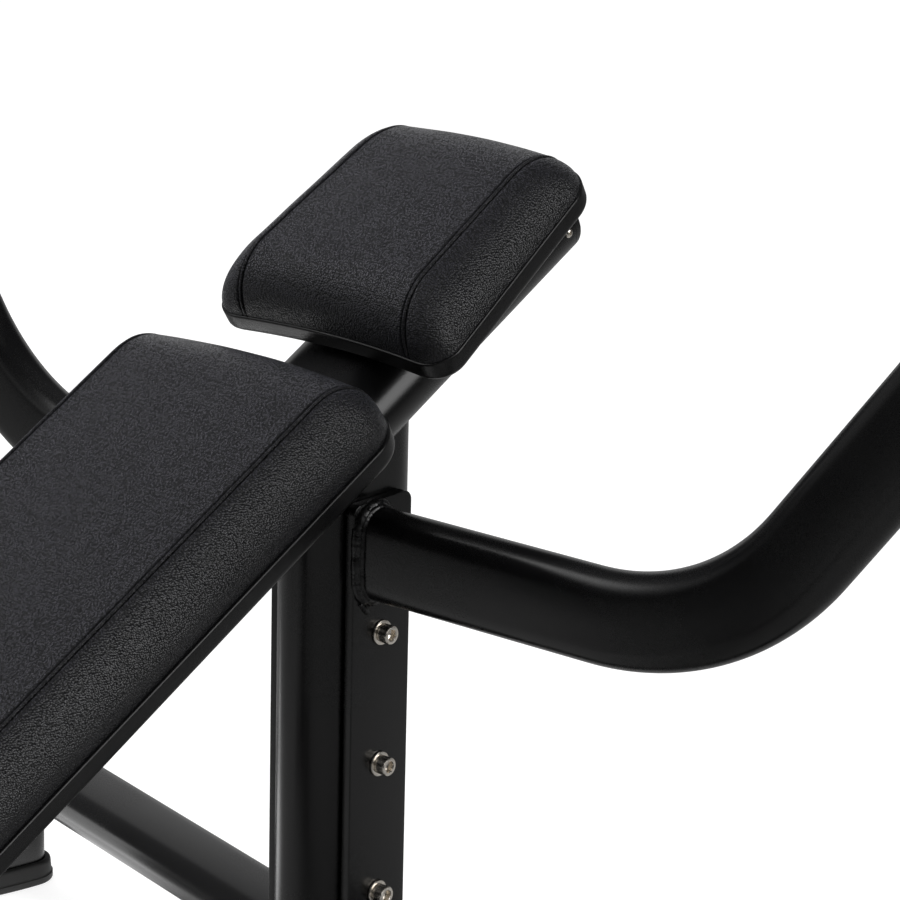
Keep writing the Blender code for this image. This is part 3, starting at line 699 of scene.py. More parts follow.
@dataclass(frozen=True)
class BareMetal(Finish):
    """A bare or plated metal with a drawn or turned grain."""

    colour: Colour
    dark: Colour
    roughness: float
    stretch: tuple[float, float, float]
    scratch: float = 0.00002

    def inputs(self, w: NodeWriter, where: Socket) -> dict[str, object]:
        """Stretched scratches and a faint stain."""
        drawn = w.out("ShaderNodeMapping", None, Vector=where, Scale=self.stretch)
        lines, stain = w.grain(drawn, 1.0, 4.0, 0.6), w.grain(where, 260.0, 3.0)
        rough = w.math("ADD", self.around(w, lines, 0.3, 0.7, -0.05, 0.07),
                       w.ranged(stain, 0.4, 0.7, 0.0, 0.05))
        return {"Base_Color": w.tint(w.ranged(stain, 0.35, 0.7, 0.0, 0.6), self.colour, self.dark),
                "Roughness": rough, "Normal": w.bump(lines, self.scratch), "Metallic": 1.0}


@dataclass(frozen=True)
class PadLeather(Finish):
    """Pebbled black upholstery whose colour paints highlights on the pebble crowns and shade in the
    pebble valleys and seams, with a cool sheen.
    """

    name: str = "pad_leather"
    # The crown colour carries a painted highlight, and the valley colour below it is painted shade
    # between the pebbles.
    colour: Colour = (0.048, 0.0473, 0.0565)
    valley: Colour = (0.007, 0.0069, 0.008)
    # Painted shade that the seam attribute multiplies into the seam grooves and the topstitch line.
    stitched: Colour = (0.05, 0.05, 0.05)
    roughness: float = 0.21
    pebble: float = 570.0
    depth: float = 0.00028

    def inputs(self, w: NodeWriter, where: Socket) -> dict[str, object]:
        """Pebbles of bent cells, coloured with a painted highlight on each crown and painted shade in
        each valley, and the seam attribute that paints shade into the seams and dulls them.
        """
        warp = w.add("ShaderNodeTexNoise", None, Vector=where, Scale=320.0, Detail=2.0)
        bent = w.vector("ADD", where, w.vector("SCALE", warp.outputs["Color"], Scale=0.0003))
        far = w.cells(bent, self.pebble, 0.75)
        large = w.math("SUBTRACT", 1.0, w.times(far, far, 2.4))
        fine = w.grain(bent, self.pebble * 1.6, 1.0)
        hills = w.math("ADD", w.times(large, 0.95), w.times(fine, 0.1))
        tone = w.grain(where, 14.0, 3.0)
        seam = w.add("ShaderNodeAttribute", {"attribute_name": "seam"}).outputs["Fac"]
        # Painted light: the pebble crowns take the light colour as a highlight and the valleys take the
        # dark one as shade.
        colour = w.tint(w.ranged(hills, 0.35, 0.95), self.valley, self.colour)
        rough = w.math("ADD", self.around(w, tone, 0.3, 0.7, -0.03, 0.04),
                       w.ranged(hills, 0.1, 0.7, 0.22, 0.0), w.times(seam, 0.25))
        slow = w.bump(w.grain(where, 30.0, 2.0), 0.0006, 0.5)
        # The seam attribute darkens the colour with painted shade in the seam grooves.
        return {"Base_Color": w.tint(w.times(seam, 0.9), colour, self.stitched, "MULTIPLY"),
                "Roughness": rough, "Normal": w.bump(hills, self.depth, 1.0, slow),
                "Specular_IOR_Level": w.ranged(seam, 0.0, 1.0, 0.56, 0.03),
                "Sheen_Weight": 0.03, "Sheen_Roughness": 0.45, "Sheen_Tint": (0.8, 0.88, 1.0, 1.0)}


@dataclass(frozen=True)
class Moulded(Finish):
    """Moulded plastic or rubber with a spark-eroded skin."""

    colour: Colour
    worn: Colour
    roughness: float
    texture: float
    depth: float
    specular: float = 0.5

    def inputs(self, w: NodeWriter, where: Socket) -> dict[str, object]:
        """Fine skin over a slow drift of tone."""
        drift, skin = w.grain(where, 22.0, 3.0), w.grain(where, self.texture, 2.0)
        both = w.math("ADD", w.times(skin, 0.5), w.times(drift, 0.5))
        return {"Base_Color": w.tint(w.ranged(drift, 0.35, 0.7), self.colour, self.worn),
                "Roughness": self.around(w, both, 0.3, 0.7, -0.05, 0.06),
                "Normal": w.bump(skin, self.depth), "Specular_IOR_Level": self.specular}


@dataclass(frozen=True)
class SeamThread(Finish):
    """Twisted bonded thread of the pads' seams."""

    name: str = "seam_thread"
    colour: Colour = (0.014, 0.014, 0.0145)
    dark: Colour = (0.006, 0.006, 0.0062)

    def inputs(self, w: NodeWriter, where: Socket) -> dict[str, object]:
        """Wave of the twist."""
        twist = w.add("ShaderNodeTexWave", None, Vector=where, Scale=1500.0,
                      Distortion=2.0).outputs["Fac"]
        return {"Base_Color": w.tint(twist, self.dark, self.colour), "Normal": w.bump(twist, 0.00008),
                "Roughness": 0.55}


class Finishes:
    """Every finish of the bench, made once."""

    def __init__(self) -> None:
        """Build the materials."""
        self.powder = PowderCoat().build()
        self.weld = WeldCoat().build()
        self.stainless = BareMetal("stainless_steel", (0.95, 0.9, 0.82), (0.68, 0.61, 0.53), 0.2,
                                   (900.0, 5200.0, 900.0)).build()
        self.zinc = BareMetal("zinc_steel", (0.46, 0.46, 0.47), (0.33, 0.33, 0.35), 0.36,
                              (1500.0, 1500.0, 300.0)).build()
        self.chrome = BareMetal("hard_chrome", (0.7, 0.71, 0.72), (0.62, 0.63, 0.65), 0.12,
                                (2600.0, 2600.0, 60.0), 0.000004).build()
        self.leather = PadLeather().build()
        self.plastic = Moulded("moulded_plastic", (0.0085, 0.0085, 0.009), (0.012, 0.012, 0.0125),
                               0.3, 1900.0, 0.00004, 0.5).build()
        self.rubber = Moulded("foot_rubber", (0.01, 0.01, 0.01), (0.016, 0.016, 0.0155),
                              0.62, 1300.0, 0.0001, 0.4).build()
        self.nylon = Moulded("catch_nylon", (0.016, 0.016, 0.017), (0.024, 0.024, 0.025),
                             0.46, 1600.0, 0.00005).build()
        self.thread = SeamThread().build()


# ---- pieces on the frame
@dataclass
class Fitter:
    """Hands finished pieces to the frame and reports them."""

    pieces: list[str] = field(default_factory=list)

    def fit(self, obj: Object, slot: str, *nodes: str, body: str = "frame") -> Object:
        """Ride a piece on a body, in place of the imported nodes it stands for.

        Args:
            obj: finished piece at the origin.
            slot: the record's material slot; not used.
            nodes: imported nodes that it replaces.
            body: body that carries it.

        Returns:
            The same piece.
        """
        if nodes:
            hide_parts(*nodes)
        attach(obj, body)
        self.pieces.append(obj.name)
        LOG.info("%-24s %6d faces on %s", obj.name, len(obj.data.polygons), body)
        return obj


@dataclass
class Assembly:
    """Pieces made of the shared finishes and handed to the frame."""

    finishes: Finishes
    fitter: Fitter


# ---- repeated pieces
class GeometryRecipe:
    """A Geometry Nodes tree that turns a path or a pattern into a plain mesh."""

    KINDS = {float: "NodeSocketFloat", int: "NodeSocketInt", tuple: "NodeSocketVector"}

    def __init__(self, name: str, **inputs: object) -> None:
        """Start the tree with its named inputs.

        Args:
            name: name of the tree.
            inputs: default of each input, whose type gives the socket's.
        """
        self.tree = bpy.data.node_groups.new(name, "GeometryNodeTree")
        face = self.tree.interface
        face.new_socket("Geometry", in_out="INPUT", socket_type="NodeSocketGeometry")
        self.keys: dict[str, str] = {}
        for label, default in inputs.items():
            socket = face.new_socket(label, in_out="INPUT", socket_type=self.KINDS[type(default)])
            socket.default_value = default
            self.keys[label] = socket.identifier
        face.new_socket("Geometry", in_out="OUTPUT", socket_type="NodeSocketGeometry")
        self.w = NodeWriter(self.tree)
        self.source = self.w.add("NodeGroupInput")

    def put(self, label: str) -> Socket:
        """Socket of a named input."""
        return self.source.outputs[label]

    def close(self, geometry: Socket, finish: Material, smooth: bool = True) -> None:
        """End the tree in real, shaded and dressed geometry.

        Args:
            geometry: last geometry socket.
            finish: material of the result.
            smooth: whether the result is shaded smooth.
        """
        real = self.w.out("GeometryNodeRealizeInstances", None, geometry)
        shaded = self.w.out("GeometryNodeSetShadeSmooth", None, real, None, smooth)
        dressed = self.w.out("GeometryNodeSetMaterial", None, shaded, None, finish)
        self.w.add("NodeGroupOutput", None, dressed)

    def grow(self, name: str, source: Object, **values: object) -> Object:
        """Run the tree on an object and keep the result as a plain mesh.

        Args:
            name: name of the piece.
            source: object with the path or points.
            values: inputs by name.

        Returns:
            The new piece. The source is removed.
        """
        mod = source.modifiers.new(name, "NODES")
        mod.node_group = self.tree
        for label, value in values.items():
            mod[self.keys[label]] = value
        mesh = plain_mesh(source)
        bpy.data.objects.remove(source)
        mesh.name = name
        return new_object(name, mesh)


def edge_path(name: str, points: Sequence[Vector], normals: Optional[Sequence[Vector]] = None,
              closed: bool = False) -> Object:
    """Object of one chain of edges, with the surface direction kept at each point.

    Args:
        name: name of the path.
        points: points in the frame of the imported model.
        normals: surface direction at each point.
        closed: whether the chain closes on itself.

    Returns:
        The path.
    """
    edges = [(k, k + 1) for k in range(len(points) - 1)]
    if closed:
        edges.append((len(points) - 1, 0))
    mesh = bpy.data.meshes.new(name)
    mesh.from_pydata([tuple(p) for p in points], edges, [])
    if normals:
        layer = mesh.attributes.new("lean", "FLOAT_VECTOR", "POINT")
        for k, direction in enumerate(normals):
            layer.data[k].vector = direction
    return new_object(name, mesh)


class WeldRecipe(GeometryRecipe):
    """A fillet bead of overlapping weld ripples along a path."""

    def __init__(self, finish: Material) -> None:
        """Write the tree.

        Args:
            finish: material of the bead.
        """
        super().__init__("weld_bead", Radius=0.0038, Ripple=0.0042, Unevenness=0.0009, Seed=1.0)
        w = self.w
        curve = w.out("GeometryNodeMeshToCurve", None, self.put("Geometry"))
        fine = w.add("GeometryNodeResampleCurve", {"mode": "LENGTH"}, Curve=curve, Length=0.0006)
        length = w.add("GeometryNodeSplineParameter").outputs["Length"]
        turn = w.math("MULTIPLY", w.math("DIVIDE", length, self.put("Ripple")), pi)
        wave = w.math("SINE", turn)
        scallop = w.math("MULTIPLY", wave, wave)
        position = w.out("GeometryNodeInputPosition")
        rough = w.add("ShaderNodeTexNoise", {"noise_dimensions": "4D"}, Vector=position,
                      W=self.put("Seed"), Scale=85.0, Detail=2.5)
        swell = w.math("MULTIPLY", w.math("SUBTRACT", rough.outputs["Fac"], 0.5),
                       w.math("MULTIPLY", self.put("Unevenness"), 3.0))
        radius = w.math("ADD", w.math("MULTIPLY", self.put("Radius"),
                                      w.math("ADD", 0.99, w.math("MULTIPLY", scallop, 0.01))), swell)
        shift = w.vector("SCALE", w.vector("SUBTRACT", rough.outputs["Color"], (0.5, 0.5, 0.5)),
                         Scale=self.put("Unevenness"))
        moved = w.out("GeometryNodeSetPosition", None, Geometry=fine.outputs[0], Offset=shift)
        profile = w.out("GeometryNodeCurvePrimitiveCircle", {"mode": "RADIUS"}, Resolution=12,
                        Radius=1.0)
        sized = w.out("GeometryNodeSetCurveRadius", None, Curve=moved, Radius=radius)
        tube = w.add("GeometryNodeCurveToMesh", None, sized, profile, Fill_Caps=True)
        scale = tube.inputs.get("Scale")
        if scale is not None:
            stored = w.out("GeometryNodeInputRadius")
            w.tree.links.new(stored, scale)
        self.close(tube.outputs[0], finish)


class StitchRecipe(GeometryRecipe):
    """Rounded stitches at a pitch along a seam."""

    def __init__(self, finish: Material) -> None:
        """Write the tree.

        Args:
            finish: material of the thread.
        """
        super().__init__("seam_stitches", Pitch=0.0036, Length=0.0026, Thickness=0.0007)
        w = self.w
        curve = w.out("GeometryNodeMeshToCurve", None, self.put("Geometry"))
        spaced = w.out("GeometryNodeResampleCurve", {"mode": "LENGTH"}, Curve=curve,
                       Length=self.put("Pitch"))
        lean = w.out("GeometryNodeInputNamedAttribute", {"data_type": "FLOAT_VECTOR"},
                     Name="lean")
        tangent = w.out("GeometryNodeInputTangent")
        stand = w.out("FunctionNodeAlignRotationToVector", {"axis": "Z"}, Vector=lean)
        turned = w.out("FunctionNodeAlignRotationToVector", {"axis": "X", "pivot_axis": "Z"},
                       Rotation=stand, Vector=tangent)
        bead = w.out("GeometryNodeMeshUVSphere", None, Segments=8, Rings=5, Radius=0.5)
        size = w.out("ShaderNodeCombineXYZ", None, self.put("Length"), self.put("Thickness"),
                     self.put("Thickness"))
        laid = w.out("GeometryNodeInstanceOnPoints", None, Points=spaced, Instance=bead,
                     Rotation=turned, Scale=size)
        self.close(laid, finish)


class FastenerRecipe(GeometryRecipe):
    """Copies of one fastener on a straight line of holes."""

    def __init__(self, name: str, finish: Material) -> None:
        """Write the tree.

        Args:
            name: name of the tree.
            finish: material of the fasteners.
        """
        zero = (0.0, 0.0, 0.0)
        super().__init__(name, Count=3, Start=zero, Pitch=zero, Turn=zero, Seed=0, Spin=1.0)
        w = self.w
        line = w.out("GeometryNodeMeshLine", {"mode": "OFFSET"}, Count=self.put("Count"),
                     Start_Location=self.put("Start"), Offset=self.put("Pitch"))
        spin = w.add("FunctionNodeRandomValue", {"data_type": "FLOAT"}, Seed=self.put("Seed"))
        amount = w.math("MULTIPLY", spin.outputs[1], self.put("Spin"))
        about = w.out("ShaderNodeCombineXYZ", None, 0.0, 0.0, amount)
        stand = w.out("FunctionNodeEulerToRotation", None, self.put("Turn"))
        roll = w.out("FunctionNodeEulerToRotation", None, about)
        turned = w.out("FunctionNodeRotateRotation", {"rotation_space": "LOCAL"}, stand, roll)
        laid = w.out("GeometryNodeInstanceOnPoints", None, Points=line, Instance=self.put("Geometry"),
                     Rotation=turned)
        self.close(laid, finish, smooth=False)


# ---- main tubes
@dataclass
class MainTubes(Assembly):
    """Spine, its end cap and the rear post."""

    bend: float = 0.16
    arc_segs: int = 40
    cap_screw_in: float = 0.01

    def stations(self) -> list[Station]:
        """Path of the spine in the (towards the front, up) plane, from its head end."""
        s = SIZES
        top = s.slope(s.spine_top, s.spine_n)
        bend_y = s.front_y + self.bend * (1 - sin(s.incline))
        straight = (top.y - bend_y) / cos(s.incline)
        end_z = top.z - straight * sin(s.incline) - self.bend * cos(s.incline)
        return bent_path((-top.y, top.z), -s.incline,
                         [(straight, 0, 0), (self.bend, s.incline - pi / 2, self.arc_segs),
                          (end_z - s.flange_top, 0, 0)])

    def spine(self) -> None:
        """Bent main tube."""
        tube = sweep("main_spine", self.finishes.powder, self.stations(), (0, 0, 0),
                     Vector((0, -1, 0)), UP, (SIZES.main_w, SIZES.main_t), False)
        self.fitter.fit(tube, "powder_coat", "spine")

    def cap(self) -> None:
        """Moulded cap on the head end and its two cross-head screws."""
        s = SIZES
        hub = placed(s.slope(s.spine_top + s.gap, s.spine_n), ACROSS, SQUARE)
        cap = end_cap("spine_end_cap", self.finishes.plastic, hub @ Matrix.Rotation(pi, 4, "Y"),
                      (s.main_w, s.main_t), 0.022, 0.005, (0.004, 0.0035, 7))
        self.fitter.fit(cap, "moulded_plastic", "spine_cap")
        for side in Side:
            spot = s.slope(s.spine_top - self.cap_screw_in, s.spine_n)
            self.cross_screw(side, placed(spot, ALONG * side.value, SQUARE))

    def cross_screw(self, side: Side, base: Matrix) -> None:
        """Small domed cross-head screw on the side of the tube.

        Args:
            side: side of the bench.
            base: frame whose third axis points out of the tube.
        """
        x = SIZES.main_w / 2 + 0.00035
        head = lathe("cap_crosshead_" + side.label, self.finishes.stainless, base,
                     [(0.002, 0.048), (0.002, x), (0.0041, x), (0.0042, x + 0.0004),
                      (0.0041, x + 0.001), (0.0036, x + 0.0017), (0.0027, x + 0.0023),
                      (0.0014, x + 0.0026)], 32)
        cross = Shell()
        for width, height in ((0.004, 0.0008), (0.0008, 0.004)):
            loop = rounded_rect(width, height, 0.0003, 3)
            cross.stack([(loop, x + 0.001), (loop, x + 0.004)], base)
        carve(head, cross.settle("cross_cutter", self.finishes.stainless))
        self.fitter.fit(head, "stainless_steel", "cap_screw_" + side.label)

    def post(self) -> None:
        """Rear post, coped to the spine's underside."""
        s = SIZES
        shell = Shell()
        skins = []
        for wall in (0.0, s.wall):
            spots = [(-b, a + s.post_y) for a, b in oval(s.main_w - 2 * wall, s.main_t - 2 * wall)]
            skins.append([shell.points(Vector((x, y, s.post_base)) for x, y in spots),
                          shell.points(Vector((x, y, self.cope(x, y))) for x, y in spots)])
            shell.skin(skins[-1], caps=False)
        for outer, inner in zip(*skins):
            shell.rim(outer, inner)
        post = shell.settle("rear_upright", self.finishes.powder)
        self.fitter.fit(post, "powder_coat", "rear_post")

    @staticmethod
    def cope(x: float, y: float) -> float:
        """Height of the spine's underside over a point."""
        s = SIZES
        flat = (s.main_w - s.main_t) / 2
        out = max(0.0, abs(x) - flat)
        drop = sqrt((s.main_t / 2) ** 2 - out * out)
        return s.arm_z + y * tan(s.incline) + (s.spine_n - drop - s.gap) / cos(s.incline)

    def build(self) -> None:
        """Make every piece."""
        self.spine()
        self.cap()
        self.post()


# ---- boots
@dataclass
class Boot(Assembly):
    """Lipped rubber boot for the end of a flat-oval tube."""

    height: float = 0.022
    lip: float = 0.008
    base: float = 0.0117

    def build(self, name: str, node: str, place: Point, long_axis: Sequence[float], major: float,
              minor: float) -> None:
        """Make one boot.

        Args:
            name: name of the piece.
            node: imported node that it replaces.
            place: plan position.
            long_axis: direction of the oval's major axis.
            major: major width of the tube.
            minor: minor width of the tube.
        """
        a = Vector(long_axis).normalized()
        base = placed((place[0], place[1], 0.0), a, UP.cross(a))
        wide = oval(major + 2 * self.lip, minor + 2 * self.lip)
        bore = oval(major + 2 * SIZES.gap, minor + 2 * SIZES.gap)
        mouth = oval(major + 0.0016, minor + 0.0016)
        h = self.height
        levels = [(inset(wide, 0.002), 0.0), (inset(wide, 0.0006), 0.0006), (wide, 0.002),
                  (wide, 0.007), (inset(wide, 0.0012), 0.0078), (inset(wide, 0.0014), 0.0092),
                  (inset(wide, 0.002), h - 0.004), (inset(wide, 0.0026), h - 0.0014),
                  (inset(wide, 0.0042), h - 0.0003), (inset(wide, 0.0056), h), (mouth, h),
                  (bore, h - 0.001), (bore, self.base)]
        boot = stacked(name, self.finishes.rubber, base, levels, 50.0)
        self.fitter.fit(boot, "foot_rubber", node)


# ---- wings
@dataclass
class Wings(Assembly):
    """Side plates, arms that rise into uprights, and legs."""

    boot: Boot
    arm_run: float = 0.223
    arm_radius: float = 0.2393
    arm_rise: float = radians(53.2)
    arm_mid: float = 0.1668
    arm_top: float = 1.225
    leg_radius: float = 0.075
    arc_segs: int = 44

    def run(self, side: Side) -> Vector:
        """Plan direction of an arm."""
        return Vector((side.value * cos(SIZES.arm_sweep), sin(SIZES.arm_sweep), 0.0))

    def front(self, side: Side) -> Vector:
        """Plan direction square to an arm, toward the foot end."""
        run = self.run(side)
        return Vector((run.y * side.value, -run.x * side.value, 0.0))

    def stations(self) -> list[Station]:
        """Path of an arm from the plate to the top of its upright."""
        first = bent_path((0.0, 0.0), 0.0, [
            (self.arm_run, 0, 0), (self.arm_radius, self.arm_rise, self.arc_segs),
            (self.arm_mid, 0, 0),
            (self.arm_radius, pi / 2 - self.arm_rise, self.arc_segs // 2)])
        return first + [(first[-1][0], self.arm_top - SIZES.arm_z, pi / 2)]

    @staticmethod
    def flush(side: Side) -> Trim:
        """Trim that lays the first ring on the plate's outer face."""
        plane = side.value * (SIZES.plate_x1 + SIZES.gap)

        def move(index: int, spot: Vector, tangent: Vector) -> Vector:
            """Slide a point of the first ring along the tube."""
            return spot if index else spot + tangent * ((plane - spot.x) / tangent.x)
        return move

    def leg_line(self, side: Side) -> tuple[Vector, Vector]:
        """Root and reach of a leg's axis."""
        s = SIZES
        base = Vector((side.value * s.plate_x1, s.plate_y - 0.0085, s.leg_z))
        return base, Vector((side.value * s.leg_end[0], s.leg_end[1], s.leg_z)) - base

    def plate(self, side: Side) -> None:
        """Side plate with eased rims."""
        s = SIZES
        middle = (s.plate_top + s.plate_bottom) / 2
        base = placed((side.value * s.plate_x0, s.plate_y, middle), (0, side.value, 0), UP)
        loop = rounded_rect(s.plate_w, s.plate_top - s.plate_bottom, 0.009, 12)
        obj = slab("wing_plate_" + side.label, self.finishes.powder, base, loop, s.plate_t)
        self.fitter.fit(obj, "powder_coat", "side_plate_" + side.label)

    def arm(self, side: Side) -> None:
        """Arm and upright in one bent tube, with its end cap."""
        s = SIZES
        base = Vector((side.value * s.plate_x1, 0.0, s.arm_z))
        run = self.run(side)
        tube = sweep("wing_arm_" + side.label, self.finishes.powder, self.stations(), base, run, UP,
                     (s.arm_w, s.arm_t), True, self.flush(side))
        self.fitter.fit(tube, "powder_coat", "arm_" + side.label)
        reach = self.stations()[-1][0]
        top = placed(base + run * reach + UP * (self.arm_top + s.gap - s.arm_z), run,
                     self.front(side) * -side.value)
        cap = end_cap("upright_cap_" + side.label, self.finishes.plastic, top, (s.arm_w, s.arm_t),
                      0.02, 0.0028, (0.0045, 0.0036, 6))
        self.fitter.fit(cap, "moulded_plastic", "arm_cap_" + side.label)

    def leg(self, side: Side) -> None:
        """Leg tube and its rubber boot."""
        s = SIZES
        base, reach = self.leg_line(side)
        run = reach.normalized()
        stations = bent_path((0.0, 0.0), 0.0, [(reach.length - self.leg_radius, 0, 0),
                                               (self.leg_radius, -pi / 2, 30)])
        stations.append((stations[-1][0], self.boot.base + s.gap - s.leg_z, -pi / 2))
        tube = sweep("wing_leg_" + side.label, self.finishes.powder, stations, base, run, UP,
                     (s.arm_w, s.arm_t), False, self.flush(side))
        self.fitter.fit(tube, "powder_coat", "leg_" + side.label)
        self.boot.build("leg_boot_" + side.label, "foot_" + side.label,
                        (side.value * s.leg_end[0], s.leg_end[1]), (-run.y, run.x, 0),
                        s.arm_w, s.arm_t)

    def build(self) -> None:
        """Make both wings."""
        for side in Side:
            self.plate(side)
            self.arm(side)
            self.leg(side)


# ---- bar catches
@dataclass
class BarCatches(Assembly):
    """Two-level bar catches on the uprights, with nylon liners."""

    wings: Wings
    levels: Point = (1.075, 1.185)
    width: float = 0.036
    reach: float = 0.032
    cradle: float = 0.0175
    liner: float = 0.003

    def outline(self) -> Loop:
        """Outline of a catch as (forward, height) points, with its two cradles."""
        loop: Loop = [(0.0, self.levels[0] - 0.07)]
        thick = self.reach - self.cradle
        tip = self.reach + self.cradle
        for level in self.levels:
            if level != self.levels[0]:
                loop.append((thick, level - 0.062))
            loop += [(tip - 0.004, level - 0.034), (tip + 0.01, level - 0.014),
                     (tip + 0.011, level + 0.006), (tip + 0.007, level + 0.01),
                     (tip + 0.002, level + 0.008)]
            loop += [(self.reach + self.cradle * cos(t), level + self.cradle * sin(t))
                     for t in (radians(5 - 185 * k / 30) for k in range(31))]
        return loop + [(thick, self.levels[-1] + 0.026), (thick - 0.006, self.levels[-1] + 0.034),
                       (0.0, self.levels[-1] + 0.034)]

    def build(self) -> None:
        """Make both catches and their four liners."""
        s = SIZES
        reach = self.wings.stations()[-1][0]
        for side in Side:
            run, front = self.wings.run(side), self.wings.front(side)
            foot = Vector((side.value * s.plate_x1, 0.0, 0.0)) + run * reach
            start = foot + front * (s.arm_t / 2 + s.gap) - run * (self.width / 2)
            base = Matrix(((front.x, 0, run.x, start.x), (front.y, 0, run.y, start.y),
                           (front.z, 1, run.z, start.z), (0, 0, 0, 1)))
            body = slab("bar_catch_plate_" + side.label, self.finishes.powder, base, self.outline(),
                        self.width, 0.0012)
            self.fitter.fit(body, "powder_coat", "bar_catch_" + side.label)
            outer, inner = self.cradle - s.gap, self.cradle - self.liner
            for index, level in enumerate(self.levels, 1):
                angles = [radians(4 - 182 * k / 32) for k in range(33)]
                loop = [(self.reach + outer * cos(t), level + outer * sin(t)) for t in angles]
                loop += [(self.reach + inner * cos(t), level + inner * sin(t))
                         for t in reversed(angles)]
                label = "liner_%s_%d" % (side.label, index)
                strip = slab("cradle_" + label, self.finishes.nylon, base, loop, self.width, 0.0005)
                self.fitter.fit(strip, "catch_nylon", "catch_" + label)


# ---- front base
@dataclass
class FrontBase(Assembly):
    """Front crossbar, saddle plate and rubber end shoes."""

    flange: Station = (0.2, 0.088, 0.01)

    def build(self) -> None:
        """Make every piece."""
        s = SIZES
        half = s.bar_len / 2
        bar = sweep("front_foot_bar", self.finishes.powder, [(-half, 0.0, 0.0), (half, 0.0, 0.0)],
                    (0, s.front_y, s.bar_z), ACROSS, UP, (s.arm_w, s.arm_t), False)
        self.fitter.fit(bar, "powder_coat", "front_crossbar")
        top = s.bar_z + s.arm_t / 2
        plate = slab("saddle_flange", self.finishes.powder,
                     placed((0, s.front_y, top + s.gap), (1, 0, 0), (0, 1, 0)),
                     rounded_rect(*self.flange, 12), s.saddle_t)
        self.fitter.fit(plate, "powder_coat", "saddle_plate")
        for side in Side:
            self.shoe(side)

    def shoe(self, side: Side) -> None:
        """Rubber block that closes one end of the crossbar."""
        s = SIZES
        height = s.bar_z + s.arm_t / 2 + 0.006
        wide = [(a, b + height / 2 - s.bar_z)
                for a, b in rounded_rect(s.arm_w + 0.016, height, 0.016, 10)]
        place = (side.value * (s.bar_len / 2 + 0.008), s.front_y, s.bar_z)
        base = placed(place, (0, -side.value, 0), UP)
        bore = oval(s.arm_w + 2 * s.gap, s.arm_t + 2 * s.gap, 12, 3.5, 10)
        shell = Shell()
        outer = [shell.ring(inset(wide, back), base, depth) for back, depth in (
            (0.003, 0.0), (0.0012, 0.0006), (0.0003, 0.0018), (0.0, 0.0032), (0.0, 0.044),
            (0.001, 0.0452), (0.001, 0.0468), (0.0004, 0.048), (0.0012, 0.0494), (0.0022, 0.05))]
        mouth = [shell.ring(inset(bore, back), base, depth)
                 for back, depth in ((-0.001, 0.05), (0.0, 0.049), (0.0, 0.0077))]
        shell.skin(outer, caps=False)
        shell.skin(mouth, caps=False)
        shell.bm.faces.new(outer[0][::-1])
        shell.bm.faces.new(mouth[-1])
        edges = [shell.bm.edges.get((ring[k], ring[(k + 1) % len(ring)]))
                 for ring in (outer[-1], mouth[0]) for k in range(len(ring))]
        bmesh.ops.bridge_loops(shell.bm, edges=edges)
        self.fitter.fit(shell.settle("crossbar_shoe_" + side.label, self.finishes.rubber, 50.0),
                        "foot_rubber", "end_shoe_" + side.label)


